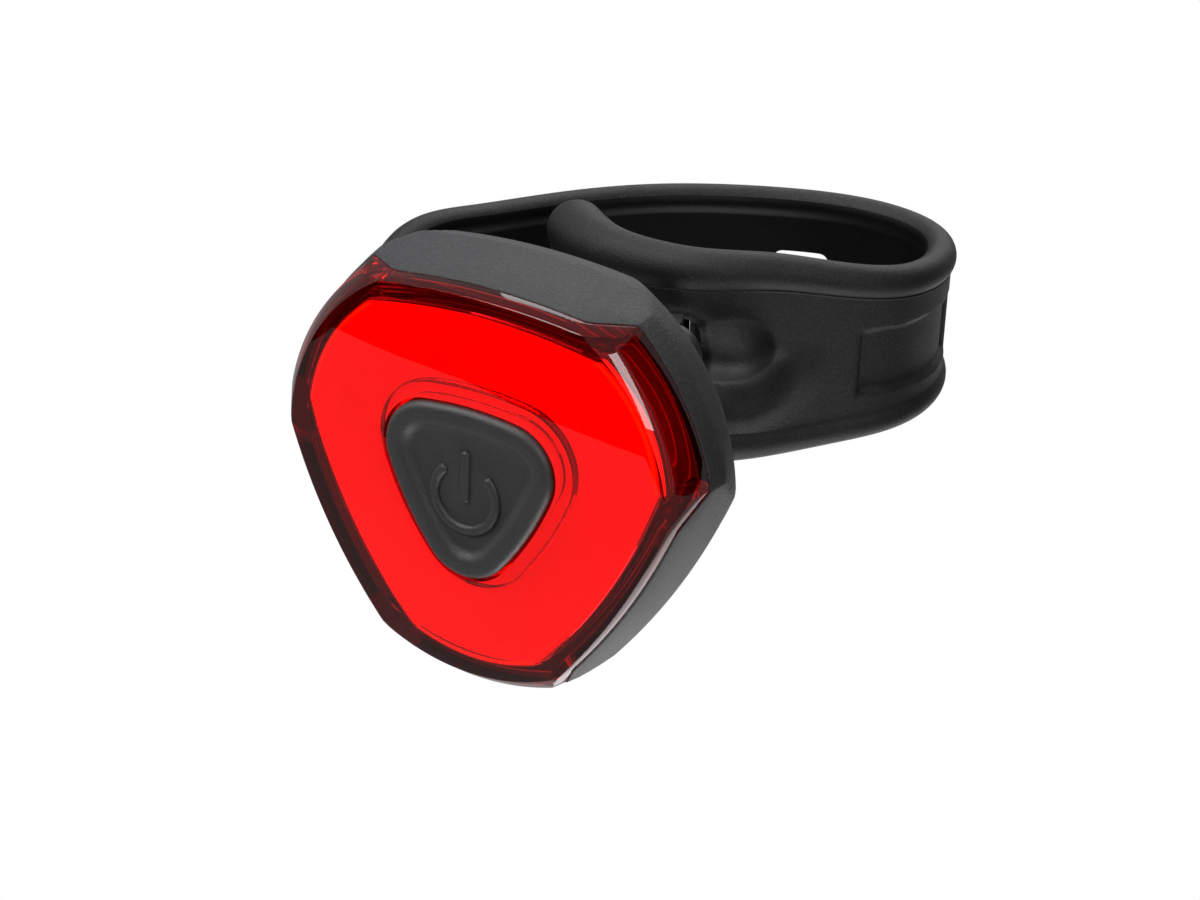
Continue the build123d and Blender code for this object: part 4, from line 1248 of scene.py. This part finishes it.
def hole_cutter(place, outward, length, height, corner, drop):
    """Rounded block that goes through the strap in a given direction."""
    way = Vector((outward.y, -outward.x, 0))
    profile = []
    for x, y, start in ((1, 1, 0), (-1, 1, 90), (-1, -1, 180), (1, -1, 270)):
        for step in range(7):
            angle = math.radians(start + 90 * step / 6)
            across = x * (length / 2 - corner) + math.cos(angle) * corner
            up = y * (height / 2 - corner) + math.sin(angle) * corner
            profile.append(place + way * across + Vector((0, 0, up - drop)))
    reach = outward * CUTTER_REACH
    return prism("hole_cutter", [point + reach for point in profile], [point - reach for point in profile])


def eye_mesh():
    """Knuckle of the strap round the pin."""
    profile = [
        (EYE_INNER, -EYE_HALF + EYE_EASE),
        (EYE_INNER + EYE_EASE, -EYE_HALF),
        (EYE_OUTER - EYE_EASE, -EYE_HALF),
        (EYE_OUTER, -EYE_HALF + EYE_EASE),
        (EYE_OUTER, EYE_HALF - EYE_EASE),
        (EYE_OUTER - EYE_EASE, EYE_HALF),
        (EYE_INNER + EYE_EASE, EYE_HALF),
        (EYE_INNER, EYE_HALF - EYE_EASE),
    ]
    rings = []
    for radius, height in profile:
        ring = []
        for step in range(48):
            angle = 2 * math.pi * step / 48
            x, y = PIN_OFFSET + math.cos(angle) * radius, PIN_Y + math.sin(angle) * radius
            ring.append(Vector((x, y, height)))
        rings.append(ring)
    mesh = ring_mesh("strap_eye", rings)
    outward_faces(mesh)
    return mesh


silicone = moulded_material(
    "black_silicone", (0.011, 0.011, 0.0115), (0.14, 0.14, 0.14), 0.42, 5600, 0.00009, 0.3, 0.0001, 0.4
)
# Darker, less shiny copy of the silicone: painted shade on the faces inside the loop.
silicone_painted_shade = moulded_material(
    "black_silicone_painted_shade",
    (0.0025, 0.0025, 0.003),
    (0.02, 0.02, 0.02),
    0.5,
    2500,
    0.00003,
    0.2,
    0.0001,
    0.15,
)
strap = piece_of("strap_moulding", strap_band(), silicone, STRAP_SHARP_ANGLE)
strap.data.materials.append(silicone_painted_shade)
section_points = 2 * BEAD_POINTS + 2 * (WEB_POINTS - 1) + len(FLASH_PROFILE)
first_painted_shade = BEAD_POINTS - PAINTED_SHADE_BEAD_POINTS[0]
inner_points = range(first_painted_shade, BEAD_POINTS + WEB_POINTS + PAINTED_SHADE_BEAD_POINTS[1])
# Painted shade: the faces inside the loop and the nearest bead points take the darker copy.
for face in strap.data.polygons:
    if face.index < section_points * STATIONS and face.index % section_points in inner_points:
        face.material_index = 1
hook_radial = (strap_at(HOOK_HOLE_SHARE)[0] - PIN_AXIS).normalized()
hook_way = Vector((-hook_radial.y, hook_radial.x, 0))
hook_middle = PIN_AXIS + hook_radial * HOOK_OPENING_MIDDLE
far_middle, far_way = strap_at(FAR_HOLE_SHARE)
far_outward = Vector((-far_way.y, far_way.x, 0))
hook_cutter = hole_cutter(hook_middle, hook_way, HOOK_OPENING, *HOOK_HOLE[1:], 0)
far_cutter = hole_cutter(far_middle, far_outward, *FAR_HOLE, FAR_HOLE_DROP)
cut_out(strap, [hook_cutter, far_cutter])
work = bmesh.new()
work.from_mesh(strap.data)
work.from_mesh(eye_mesh())
work.to_mesh(strap.data)
work.free()
smoothed(strap, STRAP_SHARP_ANGLE)
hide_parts("strap")
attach(strap, "strap_body")


# Bracket and its pin
# A black nylon plate screwed to the back of the lamp, with two lugs for the strap's steel pin and
# a curved hook that the strap's hole drops over. The hook's end is thicker and rounded.
black_nylon = moulded_material(
    "black_nylon", (0.02, 0.02, 0.021), (0.07, 0.07, 0.07), 0.45, 4500, 0.00005, 0.3, 0.0002
)
dress("mount_bracket", black_nylon)
HOOK_RADIUS = 24.63 * MM
HEAD_SQUARENESS = 0.55
# Angle round the pin in degrees, half thickness and half height in millimetres.
HEAD_STATIONS = [
    (40.9, 1.2, 2.3),
    (41.2, 2.3, 2.8),
    (41.9, 2.6, 2.95),
    (47.2, 2.6, 2.95),
    (48.2, 2.3, 2.6),
    (48.8, 1.8, 1.9),
    (49.0, 1.0, 1.0),
]
head_rings = []
for degrees, across, up in HEAD_STATIONS:
    turn = math.radians(degrees)
    outward = Vector((math.cos(turn), math.sin(turn), 0))
    middle = Vector((PIN_OFFSET + math.cos(turn) * HOOK_RADIUS, PIN_Y + math.sin(turn) * HOOK_RADIUS, 0))
    ring = []
    for step in range(40):
        angle = 2 * math.pi * step / 40
        side = math.copysign(abs(math.cos(angle)) ** HEAD_SQUARENESS, math.cos(angle)) * across * MM
        lift = math.copysign(abs(math.sin(angle)) ** HEAD_SQUARENESS, math.sin(angle)) * up * MM
        ring.append(middle + outward * side + Vector((0, 0, lift)))
    head_rings.append(ring)
head = piece_of("hook_head", closed_band("hook_head", head_rings), black_nylon, 50)
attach(head, "lamp")


def metal_material(name, colour, roughness, scratch_scale):
    """Bare or plated metal with fine turning marks."""
    material, tree, shader = new_material(name, {"Metallic": 1.0})
    marks, tone = mottled(tree, scratch_scale, [c * 0.8 for c in colour], colour, 5)
    limits = {"To Min": roughness * 0.8, "To Max": roughness * 1.3}
    spread = make_node(tree, "ShaderNodeMapRange", limits)
    dent = make_node(tree, "ShaderNodeBump", {"Distance": 0.00001})
    wire(
        tree,
        (marks, "Fac", spread, "Value"),
        (marks, "Fac", dent, "Height"),
        (tone, "Color", shader, "Base Color"),
        (spread, "Result", shader, "Roughness"),
        (dent, "Normal", shader, "Normal"),
    )
    return material


dress("strap_pin", metal_material("turned_steel", (0.62, 0.62, 0.63), 0.3, 3000))


# Screws
# Small zinc-plated pan-head screws with a cross recess: three hold the rear cover, three hold the
# circuit board and two hold the bracket. Their recesses stop at any angle.

# Radius and height of the head's profile; the numbers without MM down to the tip's are millimetres.
SCREW_HEAD = (
    (0.0, 0.9),
    (0.8, 0.88),
    (1.2, 0.78),
    (1.48, 0.52),
    (1.58, 0.2),
    (1.58, 0.02),
    (1.5, 0.0),
    (0.86, 0.0),
)
SCREW_HEAD_HEIGHT = 0.9 * MM
SCREW_RADIUS = 0.88
THREAD_DEPTH = 0.2
THREAD_PITCH = 0.55
THREAD_START = -0.1
PLAIN_LENGTH = 0.6
TIP_LENGTH = 0.15
TIP_RADIUS = 0.45
RINGS_IN_A_TURN = 8
RECESS_DEPTH = 0.55 * MM
RECESS_STAND = 0.1 * MM
RECESS_CROSS = ((1.0, -0.2), (1.0, 0.2), (0.2, 0.2))
COVER_SCREW_SEAT = 12.7 * MM
BRACKET_BACK = 20.6 * MM
COVER_SCREW_CIRCLE = 16.2 * MM
BOARD_SCREW_CIRCLE = 13.4 * MM
BRACKET_SCREW_REACH = 5.0 * MM


def screw_piece(name, way, length):
    """One screw with its seat at nothing and its head to the back, or to the front where way is -1."""
    rings = []

    def ring(height, radius_at):
        points = []
        for step in range(24):
            angle = 2 * math.pi * step / 24
            radius = radius_at(angle) * MM
            points.append(Vector((math.cos(angle) * radius, height * way * MM, math.sin(angle) * radius)))
        rings.append(points)

    for radius, height in SCREW_HEAD:
        ring(height, lambda angle, radius=radius: radius)
    threaded = length - PLAIN_LENGTH
    steps = int(threaded / THREAD_PITCH * RINGS_IN_A_TURN)
    for step in range(steps):
        height = THREAD_START - threaded * step / steps

        def thread(angle, height=height):
            turn = (height / THREAD_PITCH - angle / (2 * math.pi)) % 1
            return SCREW_RADIUS - THREAD_DEPTH * abs(2 * turn - 1)

        ring(height, thread)
    ring(-length + TIP_LENGTH, lambda angle: TIP_RADIUS)
    ring(-length, lambda angle: 0.0)
    mesh = ring_mesh(name, rings, closed=False)
    outward_faces(mesh)
    screw = bpy.data.objects.new(name, mesh)
    bpy.context.collection.objects.link(screw)
    cut_out(screw, [recess_cutter(way)])
    return screw


def recess_cutter(way):
    """Tapered cross that stands a little above the head."""
    top, bottom = [], []
    high, low = SCREW_HEAD_HEIGHT + RECESS_STAND, SCREW_HEAD_HEIGHT - RECESS_DEPTH
    for quarter in range(4):
        turn = Matrix.Rotation(math.radians(90 * quarter), 2)
        for across, up in RECESS_CROSS:
            wide, narrow = turn @ Vector((across, up)), turn @ Vector((across * 0.5, up * 0.6))
            top.append(Vector((wide.x * MM, way * high, wide.y * MM)))
            bottom.append(Vector((narrow.x * MM, way * low, narrow.y * MM)))
    return prism("recess_cutter", top, bottom)


def screws_on_seats():
    """Tree that sets a screw on every point, turned by chance, and gives it its metal."""
    tree = bpy.data.node_groups.new("screws_on_seats", "GeometryNodeTree")
    kinds = {"Seats": "Geometry", "Screw": "Object", "Largest Turn": "Float", "Metal": "Material"}
    for name, kind in kinds.items():
        tree.interface.new_socket(name, in_out="INPUT", socket_type="NodeSocket" + kind)
    tree.interface.new_socket("Screws", in_out="OUTPUT", socket_type="NodeSocketGeometry")
    entry = tree.nodes.new("NodeGroupInput")
    leave = tree.nodes.new("NodeGroupOutput")
    source = tree.nodes.new("GeometryNodeObjectInfo")
    chance = tree.nodes.new("FunctionNodeRandomValue")
    chance.data_type = "FLOAT"
    chance.inputs["Seed"].default_value = 5
    turn = tree.nodes.new("ShaderNodeCombineXYZ")
    place = tree.nodes.new("GeometryNodeInstanceOnPoints")
    real = tree.nodes.new("GeometryNodeRealizeInstances")
    metal = tree.nodes.new("GeometryNodeSetMaterial")
    wire(
        tree,
        (entry, "Seats", place, "Points"),
        (entry, "Screw", source, "Object"),
        (source, "Geometry", place, "Instance"),
        (entry, "Largest Turn", chance, 3),
        (chance, 1, turn, "Y"),
        (turn, "Vector", place, "Rotation"),
        (place, "Instances", real, "Geometry"),
        (real, "Geometry", metal, "Geometry"),
        (entry, "Metal", metal, "Material"),
        (metal, "Geometry", leave, "Screws"),
    )
    return tree


zinc = metal_material("zinc_plate", (0.66, 0.67, 0.7), 0.26, 4000)
screw_tree = screws_on_seats()


def set_screws(name, seats, way, length):
    """Piece made of like screws on their seats."""
    mesh = bpy.data.meshes.new(name)
    mesh.from_pydata(seats, [], [])
    screws = bpy.data.objects.new(name, mesh)
    bpy.context.collection.objects.link(screws)
    screw = screw_piece("single_screw", way, length)
    build = screws.modifiers.new("screws_on_seats", "NODES")
    build.node_group = screw_tree
    given = {"Screw": screw, "Largest Turn": math.pi / 2, "Metal": zinc}
    for socket in screw_tree.interface.items_tree:
        if socket.name in given:
            build[socket.identifier] = given[socket.name]
    finished(screws)
    bpy.data.objects.remove(screw)
    smoothed(screws, 35)
    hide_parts(name.replace("_set", ""))
    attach(screws, "lamp")


def seats_on_circle(radius, angles, depth):
    """Points at angles round the lamp's axis, at a depth behind its face plane."""
    seats = []
    for angle in angles:
        way = math.radians(angle)
        seats.append(LAMP_CENTRE + Vector((math.cos(way) * radius, depth, math.sin(way) * radius)))
    return seats


set_screws("cover_screws_set", seats_on_circle(COVER_SCREW_CIRCLE, CORNER_ANGLES, COVER_SCREW_SEAT), 1, 4.8)
set_screws("board_screws_set", seats_on_circle(BOARD_SCREW_CIRCLE, (90, 210, 330), BOARD_FRONT), -1, 3.6)
bracket_seats = [Vector((0, LAMP_CENTRE.y + BRACKET_BACK, side * BRACKET_SCREW_REACH)) for side in (-1, 1)]
set_screws("bracket_screws_set", bracket_seats, 1, 4.4)


# Inside the body
# A green circuit board with nine surface-mounted diodes, a tactile switch, its driver chip and
# resistors, over a black holder with two steel coin cells, their sprung strips and rubber seals.
cell_steel = metal_material("nickelled_steel", (0.72, 0.71, 0.69), 0.22, 1500)
spring_strip = metal_material("nickelled_spring_strip", (0.75, 0.72, 0.66), 0.25, 2200)
solder_mask = moulded_material(
    "green_solder_mask", (0.01, 0.09, 0.03), (0.03, 0.2, 0.08), 0.3, 900, 0.00002, 0.4, 0.0001
)
dress("circuit_board", solder_mask)
diode_resin = moulded_material(
    "diode_resin", (0.8, 0.55, 0.2), (0.95, 0.85, 0.6), 0.3, 1500, 0.00001, 0.5, 0.0001
)
dress("leds", diode_resin)
epoxy = moulded_material(
    "moulded_epoxy", (0.015, 0.015, 0.015), (0.05, 0.05, 0.05), 0.4, 4000, 0.00002, 0.3, 0.00005
)
white_nylon = moulded_material(
    "white_nylon", (0.75, 0.74, 0.7), (0.85, 0.85, 0.82), 0.4, 3000, 0.00002, 0.3, 0.0001
)
dress("switch_plunger", white_nylon)
for material, names in (
    (cell_steel, ("cell_front", "cell_rear")),
    (spring_strip, ("contact_negative", "contact_positive")),
    (silicone, ("lens_seal", "cover_seal")),
    (epoxy, ("driver_chip", "resistors")),
    (black_nylon, ("tact_switch", "cell_holder")),
):
    for name in names:
        dress(name, material)


# Size
# The pieces made here follow their curves more finely than the solids do. Where one stands out of
# the solids' box by a hair, its points are set back to just inside the box.
HAIR = 1e-7
for piece in (body_shell, red_cap, light_spreader, button_cap, strap):
    for vertex in piece.data.vertices:
        for axis in range(3):
            lowest, highest = cad_box[0][axis] + HAIR, cad_box[1][axis] - HAIR
            vertex.co[axis] = min(max(vertex.co[axis], lowest), highest)
